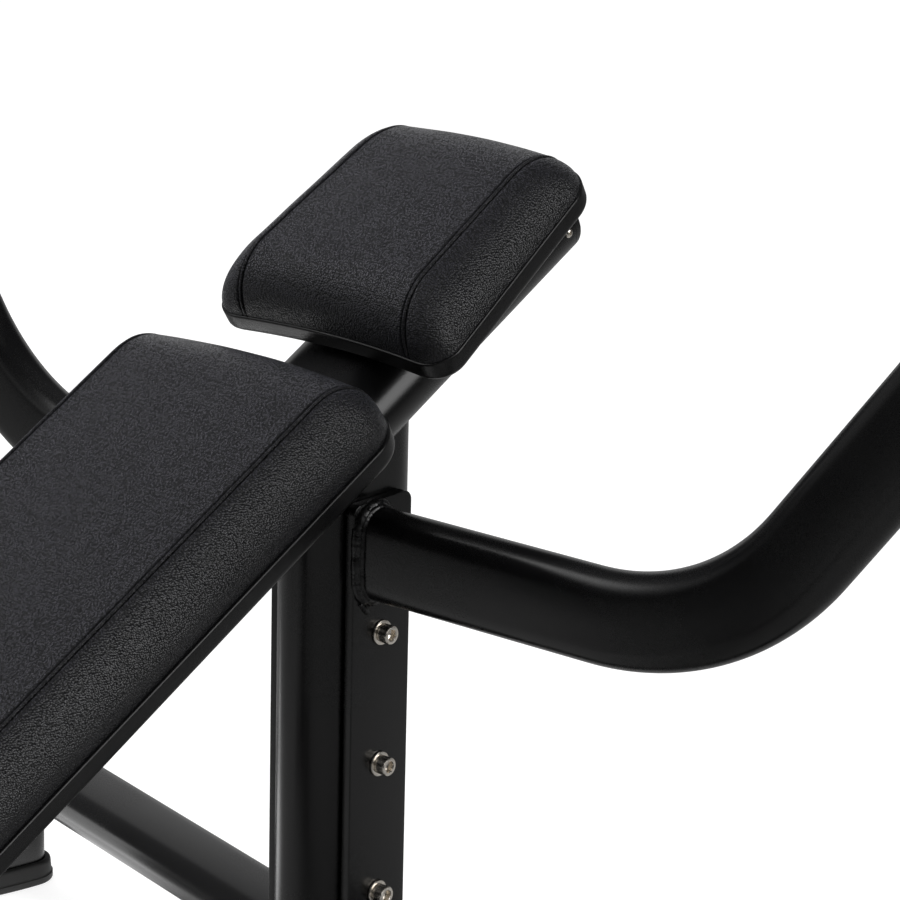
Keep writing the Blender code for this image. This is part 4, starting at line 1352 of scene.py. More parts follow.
# ---- pads
@dataclass
class Pad(Assembly):
    """One upholstered pad in its moulded tray."""

    stitcher: StitchRecipe
    label: str
    place: Matrix
    half_w: float
    length: float
    rise: float
    seam_in: float
    corner: float
    bows: Point
    body: str = "frame"
    taper: float = 0.0
    fall: float = 0.0
    crown: float = 0.003
    end_roll: float = 0.055
    tray_h: float = 0.018
    tray_t: float = 0.003
    cell: float = 0.0058
    lift: float = -0.0006
    shrink: float = 0.0022
    cap: float = 0.0052
    fill: float = 0.85
    # Seam profile: (offset from the seam, depth, painted shade); the third column paints shade into the
    # groove and the topstitch line.
    seam_profile: tuple[tuple[float, float, float], ...] = (
        (0.0036, 0.0, 0.0), (0.0019, 0.0003, 0.0), (0.0008, 0.0008, 0.4), (0.0, 0.0022, 1.0),
        (-0.0007, 0.0003, 0.4), (-0.0016, -0.0006, 0.0), (-0.0027, -0.0004, 0.0),
        (-0.0034, 0.0006, 0.8), (-0.004, 0.001, 1.0), (-0.0046, 0.0004, 0.6), (-0.0056, -0.0001, 0.0))
    stitch_in: float = 0.004
    stitch: tuple[float, float, float] = (0.0036, 0.0024, 0.0006)

    @staticmethod
    def rolled(distance: float, roll: float) -> float:
        """Height share of a rolled edge at a distance from the outline."""
        t = min(1.0, max(0.0, distance / roll))
        return sqrt(1 - (1 - t) ** 2)

    def side_share(self, distance: float) -> float:
        """Height share of the side panel at a distance from the outline.

        The panel is an arc that turns by 60 degrees between the tray and the seam, so it
        leaves the seam at a slope and the top panel's edge stands out.

        Args:
            distance: distance inward from the outline.

        Returns:
            Share of the height, 0 at the outline and 1 from the seam inward.
        """
        if distance >= self.seam_in:
            return 1.0
        wide, tall = self.seam_in, self.rise - self.tray_h - self.lift
        chord = hypot(wide, tall)
        drop = chord * cos(radians(30.0))
        cx, cz = wide / 2 + drop * tall / chord, tall / 2 - drop * wide / chord
        out = min(chord, abs(max(0.0, distance) - cx))
        return min(1.0, max(0.0, (cz + sqrt(chord * chord - out * out)) / tall))

    def plan(self, x: float, y: float) -> Point:
        """Pull a point of the rectangle into the rounded outline."""
        half_l, c = self.length / 2, self.corner
        a, b = (abs(x) - (self.half_w - c)) / c, (abs(y) - (half_l - c)) / c
        if a > 0 and b > 0:
            a, b = a * sqrt(1 - b * b / 2), b * sqrt(1 - a * a / 2)
            x = copysign(self.half_w - c + c * a, x)
            y = copysign(half_l - c + c * b, y)
        return x, y

    def top(self, x: float, y: float, sink: float = 0.0) -> Vector:
        """Point of the leather over a point of the rectangle.

        Args:
            x: place across, before the corners are rounded.
            y: place along.
            sink: how far the leather is drawn in where it is full height.

        Returns:
            The point in the pad's own frame.
        """
        half_l, low = self.length / 2, self.tray_h + self.lift
        px, py = self.plan(x, y)
        share = self.height_share(x, y)
        height = self.rise - self.fall * (y / half_l + 1) / 2 - low
        z = low + height * share + self.crown * share * (1 - (px / self.half_w) ** 2) - sink * share
        bow = self.bows[1] if py > 0 else -self.bows[0]
        end = bow * (1 - (px / self.half_w) ** 2) * (abs(py) / half_l) ** 2
        inward = sink * 0.2 * (1 - share)
        px -= copysign(min(abs(px), inward * abs(px) / self.half_w), px)
        py -= copysign(min(abs(py), inward * abs(py) / half_l), py)
        return Vector((px * (1 - self.taper * py / half_l), py + end, z))

    def columns(self) -> list[float]:
        """Places across the pad: even steps of leather, close beside each seam."""
        seam = self.half_w - self.seam_in
        steps = max(6, round(hypot(self.seam_in, self.rise - self.tray_h) * 1.15 / self.cell))
        side = [seam + self.seam_in * cos(pi / 2 * k / steps) for k in range(steps)]
        near = [seam + away for away, _, _ in self.seam_profile]
        side = [x for x in side if x - near[0] > 0.0012]
        inner = max(2, round(near[-1] / self.cell))
        flat = [near[-1] * (1 - k / inner) for k in range(1, inner)]
        right = side + near + flat
        return sorted([-x for x in right] + [0.0] + right)

    def rows(self) -> list[float]:
        """Places along the pad: even steps of leather over the rolled ends."""
        half_l = self.length / 2
        flat = half_l - self.end_roll
        steps = max(8, round(self.end_roll * 1.57 / self.cell))
        ends = [flat + self.end_roll * cos(pi / 2 * k / steps) for k in range(steps)]
        inner = max(2, round(flat / self.cell))
        middle = [flat * (1 - k / inner) for k in range(inner)]
        upper = ends + middle
        return sorted([-y for y in upper] + [0.0] + upper)

    def border(self, xs: Sequence[float], ys: Sequence[float], sink: float) -> list[Vector]:
        """Outline of the leather, counter-clockwise."""
        trail = [(x, ys[0]) for x in xs] + [(xs[-1], y) for y in ys[1:]]
        trail += [(x, ys[-1]) for x in xs[-2::-1]] + [(xs[0], y) for y in ys[-2:0:-1]]
        return [self.top(x, y, sink) for x, y in trail]

    def cushion(self) -> Object:
        """Leather cushion: drawn to shape, swollen as cloth, then sewn."""
        xs, ys = self.columns(), self.rows()
        bm = bmesh.new()
        grid = [[bm.verts.new(self.top(x, y, self.shrink)) for x in xs] for y in ys]
        for near, far in zip(grid, grid[1:]):
            for k in range(len(xs) - 1):
                bm.faces.new((near[k], near[k + 1], far[k + 1], far[k]))
        edge = grid[0] + [row[-1] for row in grid[1:]] + grid[-1][-2::-1] \
            + [row[0] for row in grid[-2:0:-1]]
        flat = [(v.x, v.y) for v in self.border(xs, ys, 0.0)]
        rings = [edge]
        for back, z in ((0.0006, self.tray_h - 0.001), (0.0026, self.tray_h - 0.001),
                        (0.005, self.tray_h - 0.003), (0.005, self.tray_t + 0.0003)):
            rings.append([bm.verts.new((a, b, z)) for a, b in inset(flat, back)])
        n = len(edge)
        for low, high in zip(rings, rings[1:]):
            for k in range(n):
                bm.faces.new((low[k], low[(k + 1) % n], high[(k + 1) % n], high[k]))
        bmesh.ops.recalc_face_normals(bm, faces=bm.faces)
        bm.verts.index_update()
        seam_x = self.half_w - self.seam_in
        pins: dict[int, float] = {}
        sew: dict[int, Point] = {}
        for ring in rings[1:]:
            pins.update({v.index: 1.0 for v in ring})
        pins.update({v.index: 0.95 for v in edge})
        for row in grid:
            for x, v in zip(xs, row):
                if abs(abs(x) - seam_x) < 0.0017:
                    pins[v.index] = 0.9
        for away, depth, dark in self.seam_profile:
            for k, x in enumerate(xs):
                if abs(abs(x) - seam_x - away) < 1e-6:
                    sew.update({row[k].index: (depth * min(1.0, 4 * self.height_share(x, y)), dark)
                                for y, row in zip(ys, grid)})
        mesh = bpy.data.meshes.new(self.label + "_pad")
        bm.to_mesh(mesh)
        bm.free()
        obj = new_object(self.label + "_pad", mesh)
        self.swell(obj, pins)
        self.sew(obj, sew)
        mesh.transform(SHIFT @ self.place)
        mesh.materials.append(self.finishes.leather)
        mesh.shade_smooth()
        self.subdivide(obj)
        return obj

    def height_share(self, x: float, y: float) -> float:
        """Share of the full height at a point, 0 at the outline."""
        end = self.rolled(self.length / 2 - abs(y), self.end_roll)
        return self.side_share(self.half_w - abs(x)) * end

    def swell(self, obj: Object, pins: dict[int, float]) -> None:
        """Blow the cushion up as cloth for a few frames, held at its base and seams.

        Args:
            obj: cushion in the pad's own frame.
            pins: how firmly each vertex is held.
        """
        group = obj.vertex_groups.new(name="held")
        for index, weight in pins.items():
            group.add([index], weight, "REPLACE")
        before = [v.co.copy() for v in obj.data.vertices]
        mod = obj.modifiers.new("stuffing", "CLOTH")
        cloth = mod.settings
        cloth.vertex_group_mass = "held"
        cloth.quality, cloth.mass, cloth.pin_stiffness = 5, 0.25, 3.0
        cloth.tension_stiffness = cloth.compression_stiffness = 22.0
        cloth.shear_stiffness, cloth.bending_stiffness = 8.0, 4.0
        cloth.use_pressure, cloth.uniform_pressure_force = True, 4.0
        cloth.effector_weights.gravity = 0.0
        mod.collision_settings.use_collision = False
        mod.point_cache.frame_start, mod.point_cache.frame_end = 1, 20
        scene = bpy.context.scene
        for frame_number in range(1, 21):
            scene.frame_set(frame_number)
        graph = bpy.context.evaluated_depsgraph_get()
        blown = [v.co.copy() for v in obj.evaluated_get(graph).data.vertices]
        obj.modifiers.clear()
        obj.vertex_groups.clear()
        scene.frame_set(1)
        for vert, start, end in zip(obj.data.vertices, before, blown):
            move = end - start
            if move.length > 1e-7:
                move *= self.cap * tanh(move.length / self.cap) / move.length
            vert.co = start + move
        LOG.info("%s swelled by up to %.1f mm", obj.name,
                 1000 * max((v.co - s).length for v, s in zip(obj.data.vertices, before)))

    def sew(self, obj: Object, sew: dict[int, Point]) -> None:
        """Fold the leather in along the seams and ripple it elsewhere.

        Args:
            obj: swollen cushion.
            sew: depth and painted seam shade of each vertex near a seam.
        """
        mesh = obj.data
        normals = [v.normal.copy() for v in mesh.vertices]
        # The seam attribute holds painted shade for the seam grooves and topstitch line, which the
        # leather's colour takes.
        layer = mesh.attributes.new("seam", "FLOAT", "POINT")
        for vert, normal in zip(mesh.vertices, normals):
            depth, dark = sew.get(vert.index, (0.0, 0.0))
            soft = noise.noise(vert.co * 28.0) * 0.00035
            vert.co -= normal * (depth + soft * (vert.co.z > self.tray_h + 0.01))
            layer.data[vert.index].value = dark

    @staticmethod
    def subdivide(obj: Object) -> None:
        """Round the cushion with one subdivision and close its hidden underside."""
        mod = obj.modifiers.new("round", "SUBSURF")
        mod.levels = mod.render_levels = 1
        mesh = plain_mesh(obj)
        old, obj.data = obj.data, mesh
        bpy.data.meshes.remove(old)
        bm = bmesh.new()
        bm.from_mesh(mesh)
        bmesh.ops.holes_fill(bm, edges=[e for e in bm.edges if e.is_boundary], sides=0)
        bmesh.ops.recalc_face_normals(bm, faces=bm.faces)
        bm.to_mesh(mesh)
        bm.free()
        mesh.name = obj.name
        mesh.shade_smooth()

    def stitches(self, pad: Object) -> None:
        """Lay a row of stitches on the leather beside each seam.

        Args:
            pad: finished cushion.
        """
        tree = BVHTree.FromPolygons([v.co for v in pad.data.vertices],
                                    [tuple(p.vertices) for p in pad.data.polygons])
        turn = SHIFT @ self.place
        seam = self.half_w - self.seam_in - self.stitch_in
        pitch, length, thickness = self.stitch
        half_l = self.length / 2
        for side in Side:
            spots, leans = [], []
            for k in range(161):
                y = (half_l - 0.0025) * (k / 80 - 1)
                aim = turn @ self.top(side.value * seam, y)
                spot, lean, _, _ = tree.find_nearest(aim)
                spots.append(spot - lean * 0.00005)
                leans.append(lean)
            path = edge_path("seam_path", spots, leans)
            name = "%s_stitches_%s" % (self.label, side.label)
            row = self.stitcher.grow(name, path, Pitch=pitch, Length=length, Thickness=thickness)
            self.fitter.fit(row, "pad_leather", body=self.body)

    def tray(self) -> Object:
        """Moulded tray with a rounded rim round the drawn-in base of the pad."""
        flat = [(v.x, v.y) for v in self.border(self.columns(), self.rows(), 0.0)]
        out, h = inset(flat, -0.0007), self.tray_h
        levels = [(inset(out, back), z) for back, z in (
            (0.005, 0.0), (0.003, 0.0003), (0.0015, 0.0011), (0.0006, 0.0023), (0.0001, 0.0038),
            (0.0, 0.0056), (-0.0003, h - 0.0022), (-0.0002, h - 0.0008), (0.0004, h - 0.0001),
            (0.001, h))]
        levels += [(inset(flat, back), z) for back, z in (
            (0.003, h), (0.004, h - 0.001), (0.0045, h - 0.003), (0.0045, self.tray_t))]
        return stacked(self.label + "_pad_tray", self.finishes.plastic, self.place, levels, 50.0)

    def build(self) -> None:
        """Make the cushion, its stitches and its tray."""
        pad = self.cushion()
        self.fitter.fit(pad, "pad_leather", self.label + "_cushion", body=self.body)
        self.stitches(pad)
        self.fitter.fit(self.tray(), "moulded_plastic", self.label + "_tray", body=self.body)


@dataclass
class Pads(Assembly):
    """Back pad, headrest and seat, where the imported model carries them."""

    back_top: float = 0.008
    back_len: float = 0.62
    head_start: float = 0.067
    head_len: float = 0.236
    head_tilt: float = radians(3.0)
    seat_len: float = 0.32
    seat_lead: float = 0.025
    seat_tilt: float = radians(7.0)
    wedge: tuple[float, float, float] = (0.04, 0.03, 0.06)

    def head_frame(self) -> tuple[Vector, Vector]:
        """Low end and direction of the headrest's floor."""
        along = Vector((0.0, cos(SIZES.incline + self.head_tilt),
                        sin(SIZES.incline + self.head_tilt)))
        return SIZES.slope(self.head_start, SIZES.deck + 0.0025), along

    def seat_frame(self) -> Matrix:
        """Frame of the seat bracket's underside."""
        s = SIZES
        lean = Vector((0.0, -cos(self.seat_tilt), sin(self.seat_tilt)))
        anchor = Vector((0.0, s.sleeve_y, s.seat_tube_top + s.gap))
        seat_y = s.front_y - self.seat_lead
        return placed(anchor - lean * ((s.sleeve_y - seat_y) / lean.y), (-1, 0, 0), lean)

    def headrest_wedge(self) -> None:
        """Bracket between the spine and the headrest's tray."""
        low, along = self.head_frame()
        half, start, end = self.wedge
        shell = Shell()
        sides = []
        for x in (-half, half):
            loop = [low + along * t - Vector((0, -along.z, along.y)) * SIZES.gap + ACROSS * x
                    for t in (start, self.head_len - end)]
            loop += [SIZES.slope(self.head_start + t * cos(self.head_tilt), SIZES.deck, x)
                     for t in (self.head_len - end, start)]
            sides.append(shell.points(loop))
        shell.skin(sides)
        bmesh.ops.bevel(shell.bm, geom=list(shell.bm.edges), offset=0.0006, segments=2,
                        affect="EDGES")
        wedge = shell.settle("headrest_bracket", self.finishes.powder)
        self.fitter.fit(wedge, "powder_coat", "head_wedge")

    def build(self) -> None:
        """Make the three pads."""
        stitcher = StitchRecipe(self.finishes.thread)
        middle = self.back_top - self.back_len / 2
        low, along = self.head_frame()
        base = self.seat_frame()
        up = base.col[2].to_3d()
        seat = Matrix.Translation(up * (SIZES.bracket_t + SIZES.gap)) @ base
        shared = (self.finishes, self.fitter, stitcher)
        Pad(*shared, "back", placed(SIZES.slope(middle, SIZES.deck), ACROSS, ALONG),
            0.136, self.back_len, 0.077, 0.026, 0.036, (0.01, 0.01)).build()
        Pad(*shared, "head", placed(low + along * (self.head_len / 2), ACROSS, along),
            0.12, self.head_len, 0.069, 0.034, 0.028, (-0.009, 0.009), taper=0.065, fall=0.012,
            cell=0.0048, cap=0.0042).build()
        Pad(*shared, "seat", seat, 0.14, self.seat_len, 0.077, 0.026, 0.045, (0.008, 0.008),
            body="seat").build()
        self.headrest_wedge()


# ---- seat post
@dataclass
class SeatPost(Assembly):
    """Sleeve, sliding tube, collar, bracket and pull pin of the seat."""

    pads: Pads
    sleeve_z0: float = 0.086
    sleeve_z1: float = 0.325
    tube_len: float = 0.225
    pin_d: float = 0.01
    pin_pitch: float = 0.025
    holes_under: int = 3
    holes_over: int = 1
    travel: float = 0.009
    bracket: Station = (0.13, 0.2, 0.012)

    def build(self) -> None:
        """Make every piece."""
        s, y = SIZES, SIZES.sleeve_y
        sleeve = sweep("seat_post_sleeve", self.finishes.powder,
                       [(0, self.sleeve_z0, pi / 2), (0, self.sleeve_z1, pi / 2)], (0, y, 0),
                       Vector((0, 1, 0)), UP, (s.sleeve, s.sleeve), True, radius=0.006)
        self.fitter.fit(sleeve, "powder_coat", "seat_sleeve")
        wide = s.sleeve - 2 * s.wall - 2 * s.gap
        self.tube(wide)
        collar = placed((0, y, self.sleeve_z1 + s.gap), (1, 0, 0), (0, 1, 0))
        bore = wide + 2 * s.gap
        outer, inner = rounded_rect(0.068, 0.068, 0.009), rounded_rect(bore, bore, 0.003)
        levels = [(inner, 0.0), (outer, 0.0), (outer, 0.0072), (inset(outer, 0.0004), 0.0086),
                  (inset(outer, 0.0012), 0.0096), (inset(outer, 0.0024), 0.01),
                  (inset(inner, -0.0006), 0.01), (inner, 0.0094)]
        bushing = stacked("sleeve_bushing", self.finishes.plastic, collar, levels, 50.0, True)
        self.fitter.fit(bushing, "moulded_plastic", "sleeve_collar")
        bracket = slab("seat_mounting_plate", self.finishes.powder, self.pads.seat_frame(),
                       rounded_rect(*self.bracket, 12), s.bracket_t, 0.0008)
        self.fitter.fit(bracket, "powder_coat", "seat_bracket", body="seat")
        self.pin(wide / 2)

    def tube(self, wide: float) -> None:
        """Chromed sliding tube with its pin holes.

        Args:
            wide: outer width of the tube.
        """
        s, y = SIZES, SIZES.sleeve_y
        tilt = tan(self.pads.seat_tilt)

        def slant(index: int, spot: Vector, tangent: Vector) -> Vector:
            """Cut the upper end to the tilt of the bracket."""
            return spot if index == 0 else spot - UP * (spot.y - y) * tilt

        tube = sweep("seat_slide_tube", self.finishes.chrome,
                     [(0, s.seat_tube_top - self.tube_len, pi / 2), (0, s.seat_tube_top, pi / 2)],
                     (0, y, 0), Vector((0, 1, 0)), UP, (wide, wide), True, slant, radius=0.003)
        holes = Shell()
        for k in range(-self.holes_under, self.holes_over + 1):
            base = placed((0, y, s.pin_z + k * self.pin_pitch), (0, 1, 0), UP)
            loop = circle(self.pin_d + 2 * s.gap, 32)
            holes.stack([(loop, wide / 2 - 0.006), (loop, wide / 2 + 0.01)], base)
        carve(tube, holes.settle("hole_cutter", self.finishes.chrome))
        self.fitter.fit(tube, "chrome", "seat_tube", body="seat")

    def pin(self, clear: float) -> None:
        """Pull pin, drawn clear of the tube, in its housing.

        Args:
            clear: outer face of the seat tube from the axis.
        """
        s = SIZES
        base = placed((0, s.sleeve_y, s.pin_z), (0, 1, 0), UP)
        face = s.sleeve / 2 + s.gap
        r = self.pin_d / 2
        nut = hexagon(0.012 * 0.92)
        levels = [(inset(nut, 0.0004), 0.0), (nut, 0.0005), (nut, 0.0092), (inset(nut, 0.0006), 0.01)]
        levels += [(circle(2 * a), h) for a, h in (
            (0.0095, 0.0106), (0.0095, 0.0272), (0.0089, 0.028), (r + s.gap, 0.028),
            (r + s.gap, 0.0))]
        guide = stacked("pin_guide", self.finishes.zinc, base,
                        [(loop, face + h) for loop, h in levels], endless=True)
        self.fitter.fit(guide, "zinc_steel", "pin_housing")
        start, knob = clear + s.gap, face + 0.028 + self.travel + s.gap
        profile = [(r - 0.001, start), (r, start + 0.001), (r, knob)]
        profile += [(a, knob + h) for a, h in (
            (0.0098, 0.0), (0.0112, 0.0008), (0.012, 0.003), (0.012, 0.0085), (0.0132, 0.0105),
            (0.016, 0.0122), (0.0174, 0.0142), (0.018, 0.018), (0.018, 0.023), (0.0172, 0.027),
            (0.0148, 0.0302), (0.011, 0.0322), (0.006, 0.033))]
        pin = lathe("pull_pin_knob", self.finishes.plastic, base, profile, 56)
        self.fitter.fit(pin, "moulded_plastic", "pull_pin", body="pin")


# ---- fasteners
@dataclass
class Fasteners(Assembly):
    """Stainless socket screws and washers of the plates and the saddle."""

    shank: float = 0.01
    head: float = 0.016
    head_h: float = 0.01
    washer: float = 0.0215
    washer_t: float = 0.002
    socket: float = 0.005
    length: float = 0.025
    saddle_x: float = 0.081
    saddle_washer_t: float = 0.0016

    def socket_screw(self, head: float, height: float, shank: float, depth: float,
                     length: float) -> Object:
        """One socket screw standing on z = 0.

        Args:
            head: head diameter.
            height: head height.
            shank: shank diameter.
            depth: depth of the hexagon.
            length: shank below the head.

        Returns:
            The screw, which an instance tree uses up.
        """
        base = SHIFT.inverted()
        across, shoulder = head * 0.265, height - 0.0012
        key = hexagon(across)
        levels = [(circle(shank), -length), (circle(shank), 0.0), (circle(head - 0.0006), 0.0),
                  (circle(head), 0.0004), (circle(head), shoulder)]
        levels += [(circle(head - 0.0022 * (1 - cos(t))), shoulder + 0.0012 * sin(t))
                   for t in (radians(a) for a in (30, 60, 90))]
        levels += [(circle(2 * across * 1.22), height), (inset(key, -0.0002), height - 0.0005),
                   (key, height - 0.001), (key, height - depth),
                   (circle(across * 1.1), height - depth - 0.0011)]
        return stacked("screw_pattern", self.finishes.stainless, base, levels, 30.0)

    def washer_ring(self, outer: float, bore: float, thick: float) -> Object:
        """One washer with stamped, rounded rims, standing on z = 0."""
        base = SHIFT.inverted()
        r, b = outer / 2, bore / 2
        return lathe("washer_pattern", self.finishes.stainless, base,
                     [(r - 0.0003, 0.0), (r, 0.0003), (r, thick - 0.0005),
                      (r - 0.0002, thick - 0.00015), (r - 0.0006, thick)], 56,
                     [(b, 0.0), (b, thick - 0.0003), (b + 0.0003, thick)])

    def lay(self, name: str, pattern: Object, nodes: Sequence[str], start: Station,
            seed: int = 0, spin: float = 0.0, pitch: Station = (0.0, 0.0, 0.0),
            turn: Station = (0.0, 0.0, 0.0)) -> None:
        """Copy a pattern to a line of holes.

        Args:
            name: name of the piece.
            pattern: one fastener on z = 0.
            nodes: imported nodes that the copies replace, one each.
            start: first place.
            seed: seed of the turn of each head.
            spin: largest turn of a head.
            pitch: step between places.
            turn: Euler angles that stand a copy up.
        """
        recipe = FastenerRecipe(name + "_line", self.finishes.stainless)
        row = recipe.grow(name, pattern, Count=len(nodes), Start=start, Pitch=pitch, Turn=turn,
                          Seed=seed, Spin=spin)
        row.data.shade_smooth()
        row.data.set_sharp_from_angle(angle=radians(30.0))
        self.fitter.fit(row, "stainless_steel", *nodes)

    def build(self) -> None:
        """Lay the screws and washers of both plates and of the saddle."""
        s = SIZES
        for side in Side:
            label = side.label
            x, y, z = side.value * (s.plate_x1 + s.gap), s.plate_y + s.shift, s.arm_z - s.screw_drop
            line = {"pitch": (0.0, 0.0, -s.screw_pitch), "turn": (0.0, side.value * pi / 2, 0.0)}
            washers, screws = ([kind + "_%s_%d" % (label, k) for k in (1, 2, 3)]
                               for kind in ("washer", "screw"))
            washer = self.washer_ring(self.washer, self.shank + 2 * s.gap, self.washer_t)
            self.lay("plate_washers_" + label, washer, washers, (x, y, z), **line)
            x += side.value * (self.washer_t + s.gap)
            screw = self.socket_screw(self.head, self.head_h, self.shank, self.socket, self.length)
            self.lay("plate_screws_" + label, screw, screws, (x, y, z), 4, 1.0, **line)
            x, y, z = side.value * self.saddle_x, s.front_y + s.shift, s.flange_top
            washer = self.washer_ring(0.016, 0.008 + 2 * s.gap, self.saddle_washer_t)
            self.lay("saddle_washers_" + label, washer, ["saddle_washer_" + label], (x, y, z))
            z += self.saddle_washer_t + s.gap
            screw = self.socket_screw(0.013, 0.008, 0.008, 0.004, 0.022)
            self.lay("saddle_screws_" + label, screw, ["saddle_screw_" + label], (x, y, z), 7, 1.0)


# ---- welds
@dataclass
class Welds(Assembly):
    """Weld beads where the tubes and plates meet."""

    wings: Wings

    def bead(self, recipe: WeldRecipe, name: str, points: Iterable[Vector], radius: float,
             seed: float, closed: bool = True, uneven: float = 0.0009) -> None:
        """Lay one bead.

        Args:
            recipe: the weld's tree.
            name: name of the piece.
            points: path about the arm plane.
            radius: radius of the bead.
            seed: seed of its unevenness.
            closed: whether the path closes on itself.
            uneven: how far the bead wanders and swells.
        """
        path = edge_path(name + "_path", [SHIFT @ p for p in points], closed=closed)
        bead = recipe.grow(name, path, Radius=radius, Unevenness=uneven, Seed=seed)
        self.fitter.fit(bead, "powder_coat")

    def build(self) -> None:
        """Lay every bead."""
        s = SIZES
        recipe = WeldRecipe(self.finishes.weld)
        for side in Side:
            x = side.value * (s.plate_x1 + s.gap)
            for label, out, wider, radius, seed, uneven in (
                    ("arm_weld_", 0.0002, 0.0018, 0.0054, 1.0, 0.0012),
                    ("arm_weld_cap_", 0.004, -0.0012, 0.0036, 7.0, 0.0006)):
                ring = [Vector((x + side.value * out, b, s.arm_z + a))
                        for a, b in oval(s.arm_w + wider, s.arm_t + wider)]
                self.bead(recipe, label + side.label, ring, radius, seed + side.value, uneven=uneven)
            start = x - side.value * 0.0008
            tail = [Vector((start, 0.0011 * k - 0.0165, s.arm_z - 0.04 - 0.0012 * k)) for k in range(10)]
            self.bead(recipe, "arm_weld_tail_" + side.label, tail, 0.0027, 3.0, False, 0.001)
            base, reach = self.wings.leg_line(side)
            run = reach.normalized()
            stretch = 1 / abs(run.x)
            ring = [Vector((x + side.value * 0.0004, base.y + a * stretch, s.leg_z + b))
                    for a, b in oval(s.arm_w + 0.002, s.arm_t + 0.002)]
            self.bead(recipe, "leg_weld_" + side.label, ring, 0.003, 5.0 + side.value)
        cope = [Vector((-b * 1.004, a * 1.004 + s.post_y, MainTubes.cope(-b, a + s.post_y) - 0.001))
                for a, b in oval(s.main_w, s.main_t)]
        self.bead(recipe, "post_weld", cope, 0.003, 9.0)
        for side in Side:
            seam = [Vector((side.value * 0.0285, s.sleeve_y + s.sleeve / 2, z))
                    for z in (0.092, 0.318)]
            self.bead(recipe, "sleeve_weld_" + side.label, seam, 0.0026, 11.5 - side.value / 2, False)
        ring = [Vector((a, s.front_y + b, s.flange_top + 0.0004))
                for a, b in oval(s.main_w + 0.002, s.main_t + 0.002)]
        self.bead(recipe, "saddle_weld", ring, 0.003, 13.0)


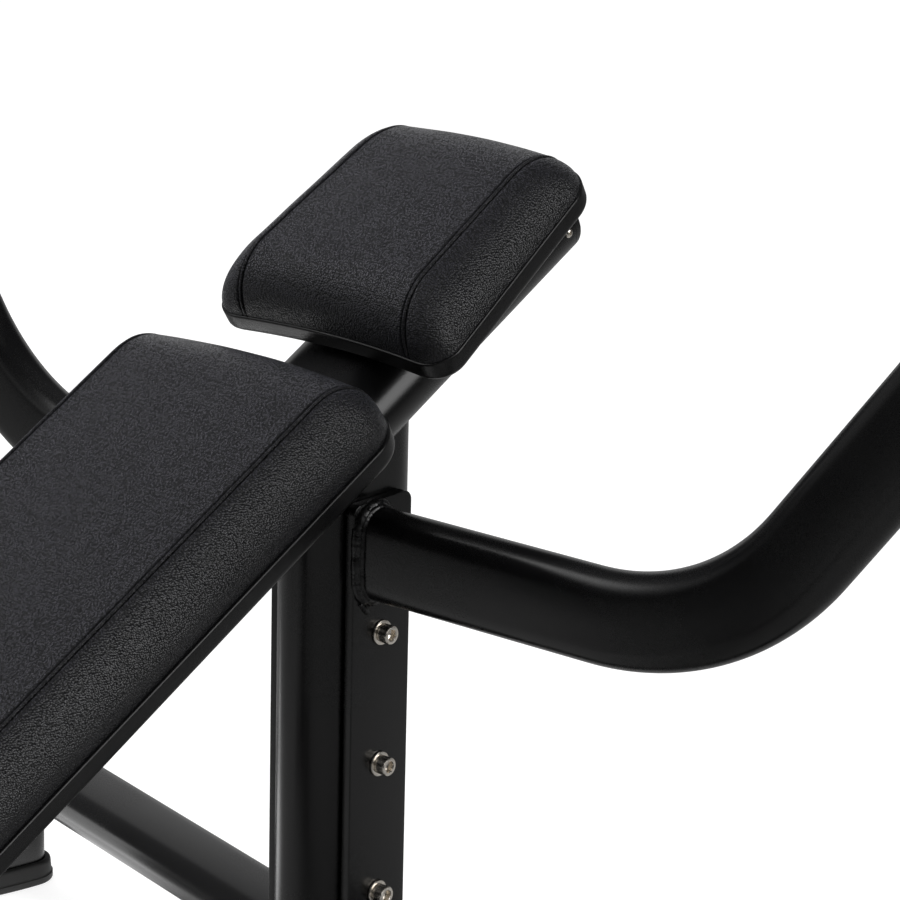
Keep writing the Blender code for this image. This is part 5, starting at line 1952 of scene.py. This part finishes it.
# ---- studio
@dataclass
class Studio:
    """White floor and background, soft lamps and the camera."""

    floor_half: float = 14.0
    floor_glow: float = 0.84
    # The colours below are seen only by rays from the bench, not the eye; the glossy ones are painted
    # reflection, brighter near and far behind the bench, darker far off toward the camera and to the
    # left.
    floor_near: Colour = (0.37, 0.37, 0.37)
    floor_away: Colour = (0.04, 0.04, 0.04)
    floor_bounce: Colour = (0.1, 0.1, 0.1)
    floor_behind: Colour = (0.5, 0.5, 0.5)
    floor_gloss_glow: float = 0.03
    # A glow seen only in reflections: a painted light where no lamp stands.
    patch: tuple[float, float, float] = (-0.55, 0.38, 0.0)
    patch_glow: float = 1.3
    ambient: float = 0.14

    def floor(self) -> None:
        """Pale floor that keeps the bench's shadow, and whose colour and glow seen in reflections are
        painted light.
        """
        mat = bpy.data.materials.new("studio_floor")
        mat.use_nodes = True
        mat.node_tree.nodes.clear()
        w = NodeWriter(mat.node_tree)
        seen, gloss = w.rays()
        spot = w.object_point()
        distance = w.measure("LENGTH", spot)
        # Painted reflection: a glowing patch for glossy rays only.
        patch = w.ranged(w.measure("DISTANCE", spot, self.patch), 0.1, 0.27, self.patch_glow, 0.0)
        shown = w.math("ADD", w.times(seen, w.ranged(distance, 1.5, 3.5, self.floor_glow, 1.0)),
                       w.times(gloss, w.math("ADD", patch, self.floor_gloss_glow)))
        # The glossy-ray colour paints the room's light onto the floor: darker far off toward the camera
        # and to the left, brighter far behind.
        front = w.measure("DOT_PRODUCT", spot, (0.62, -0.78, 0.0))
        away = w.times(w.ranged(distance, 1.2, 3.2), w.ranged(front, -0.8, 0.4))
        left = w.add("ShaderNodeSeparateXYZ", None, spot).outputs["X"]
        away = w.math("MAXIMUM", away, w.ranged(left, -1.0, -0.4, 0.45, 0.0))
        behind = w.ranged(front, -2.6, -1.4, 1.0, 0.0)
        level = w.tint(behind, w.tint(away, self.floor_near, self.floor_away), self.floor_behind)
        bounce = w.out("ShaderNodeBsdfDiffuse", None, (*self.floor_bounce, 1.0))
        mirrored = w.out("ShaderNodeBsdfDiffuse", None, level)
        matt = w.out("ShaderNodeMixShader", None, gloss, bounce, mirrored)
        white = w.out("ShaderNodeBsdfDiffuse", None, (0.3, 0.3, 0.3, 1.0))
        body = w.out("ShaderNodeMixShader", None, seen, matt, white)
        glow = w.out("ShaderNodeEmission", None, (1.0, 1.0, 1.0, 1.0), shown)
        whole = w.out("ShaderNodeAddShader", None, body, glow)
        w.add("ShaderNodeOutputMaterial", None, whole)
        mesh = bpy.data.meshes.new("studio_floor")
        h = self.floor_half
        mesh.from_pydata([(-h, -h, 0), (h, -h, 0), (h, h, 0), (-h, h, 0)], [], [(0, 1, 2, 3)])
        mesh.materials.append(mat)
        new_object("studio_floor", mesh)

    def world(self) -> None:
        """White surroundings for the eye, a shaped glow for gloss and plain light for the rest."""
        world = bpy.data.worlds.new("studio_world")
        bpy.context.scene.world = world
        world.use_nodes = True
        world.node_tree.nodes.clear()
        w = NodeWriter(world.node_tree)
        seen, gloss = w.rays()
        way = w.add("ShaderNodeTexCoord").outputs["Generated"]
        rise = w.add("ShaderNodeSeparateXYZ", None, way).outputs["Z"]

        def along(x: float, y: float, z: float) -> Socket:
            """Share of the direction that lies along a vector."""
            return w.measure("DOT_PRODUCT", way, (x, y, z))

        def toward(x: float, y: float, z: float, low: float, high: float,
                   level: float) -> Socket:
            """Soft cone of directions about one direction."""
            return w.times(w.ranged(along(*Vector((x, y, z)).normalized()), low, high), level)

        far = w.times(toward(-0.65, 0.76, 0.0, 0.72, 0.93, 0.52),
                      w.ranged(rise, 0.26, 0.62, 1.0, 0.0))
        band = w.ranged(w.math("ABSOLUTE", along(0.711, -0.692, 0.126)), 0.09, 0.22, 1.0, 0.0)
        strip = w.times(band, w.ranged(along(-0.8, -0.6, 0.0), 0.0, 0.3),
                        w.ranged(rise, 0.3, 0.7, 0.8, 2.6), w.ranged(rise, 0.0, 0.2, 0.25, 1.0),
                        w.ranged(rise, 0.76, 0.84, 1.0, 0.0))
        wall = w.times(w.ranged(along(-0.76, -0.65, 0.0), 0.3, 0.75, 0.0, 0.2),
                       w.ranged(rise, 0.05, 0.35, 1.0, 0.0))
        cones = [toward(*cone) for cone in (
            (0.87, 0.38, 0.3, 0.94, 0.985, 3.5), (0.81, -0.11, 0.57, 0.94, 0.985, 1.8),
            (-0.5, 0.1, 0.86, 0.7, 0.98, 0.1), (0.5, -0.62, 0.6, 0.93, 0.985, 0.55))]
        sheen = w.math("ADD", w.math("MAXIMUM", far, strip, *cones, wall), 0.035)
        plain = w.times(w.math("SUBTRACT", 1.0, w.math("MAXIMUM", seen, gloss)), self.ambient)
        level = w.math("ADD", seen, w.times(gloss, sheen), plain)
        back = w.out("ShaderNodeBackground", None, (1.0, 1.0, 1.0, 1.0), level)
        w.add("ShaderNodeOutputWorld", None, back)

    @staticmethod
    def lamp(name: str, place: Sequence[float], aim: Sequence[float], size: Point, power: float,
             in_gloss: bool = False) -> None:
        """Soft box aimed at a point.

        Args:
            name: name of the lamp.
            place: where it hangs.
            aim: point it faces.
            size: width and height.
            power: watts.
            in_gloss: whether glossy surfaces show it.
        """
        light = bpy.data.lights.new(name, "AREA")
        light.shape, light.size, light.size_y = "RECTANGLE", size[0], size[1]
        light.energy = power
        obj = new_object(name, light)
        obj.location = place
        obj.rotation_euler = (Vector(aim) - Vector(place)).to_track_quat("-Z", "Y").to_euler()
        obj.visible_camera = False
        obj.visible_glossy = in_gloss

    def camera(self) -> None:
        """Camera at the photograph's viewing angle."""
        a, e, roll = (radians(v) for v in (40.4497, 17.1743, 1.4206))
        right = Vector((cos(a), sin(a), 0.0))
        back = Vector((sin(a) * cos(e), -cos(a) * cos(e), sin(e)))
        up = back.cross(right)
        r2 = right * cos(roll) + up * sin(roll)
        u2 = up * cos(roll) - right * sin(roll)
        data = bpy.data.cameras.new("studio_camera")
        data.lens, data.sensor_width = 146.958, 36.0
        data.clip_end = 60.0
        obj = new_object("studio_camera", data)
        place = (1.9324, -2.1204 + SIZES.shift, 1.46576)
        obj.matrix_world = Matrix(((r2.x, u2.x, back.x, place[0]), (r2.y, u2.y, back.y, place[1]),
                                   (r2.z, u2.z, back.z, place[2]), (0.0, 0.0, 0.0, 1.0)))
        bpy.context.scene.camera = obj

    def build(self) -> None:
        """Set up floor, world, lamps and camera."""
        self.camera()
        self.floor()
        self.world()
        self.lamp("overhead_box", (-1.3, 0.3, 2.8), (0.0, 0.2, 0.5), (2.4, 2.2), 116.0)
        self.lamp("right_box", (2.6, 0.4, 1.8), (0.0, 0.3, 0.5), (1.6, 1.6), 3.0)
        self.lamp("low_card", (-0.6, 0.335, 0.105), (-0.55, 0.55, 0.105), (0.38, 0.2), 0.42, True)
        scene = bpy.context.scene
        scene.view_settings.view_transform = "Standard"


def main() -> None:
    """Build the dressed bench in its studio."""
    logging.basicConfig(level=logging.INFO, format="%(message)s")
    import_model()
    finishes = Finishes()
    fitter = Fitter()
    Studio().build()
    boot = Boot(finishes, fitter)
    MainTubes(finishes, fitter).build()
    boot.build("post_boot", "post_foot", (0.0, SIZES.post_y), (0, 1, 0), SIZES.main_w, SIZES.main_t)
    wings = Wings(finishes, fitter, boot)
    wings.build()
    BarCatches(finishes, fitter, wings).build()
    FrontBase(finishes, fitter).build()
    pads = Pads(finishes, fitter)
    pads.build()
    SeatPost(finishes, fitter, pads).build()
    Fasteners(finishes, fitter).build()
    Welds(finishes, fitter, wings).build()
    LOG.info("%d pieces fitted", len(fitter.pieces))


if __name__ == "__main__":
    main()
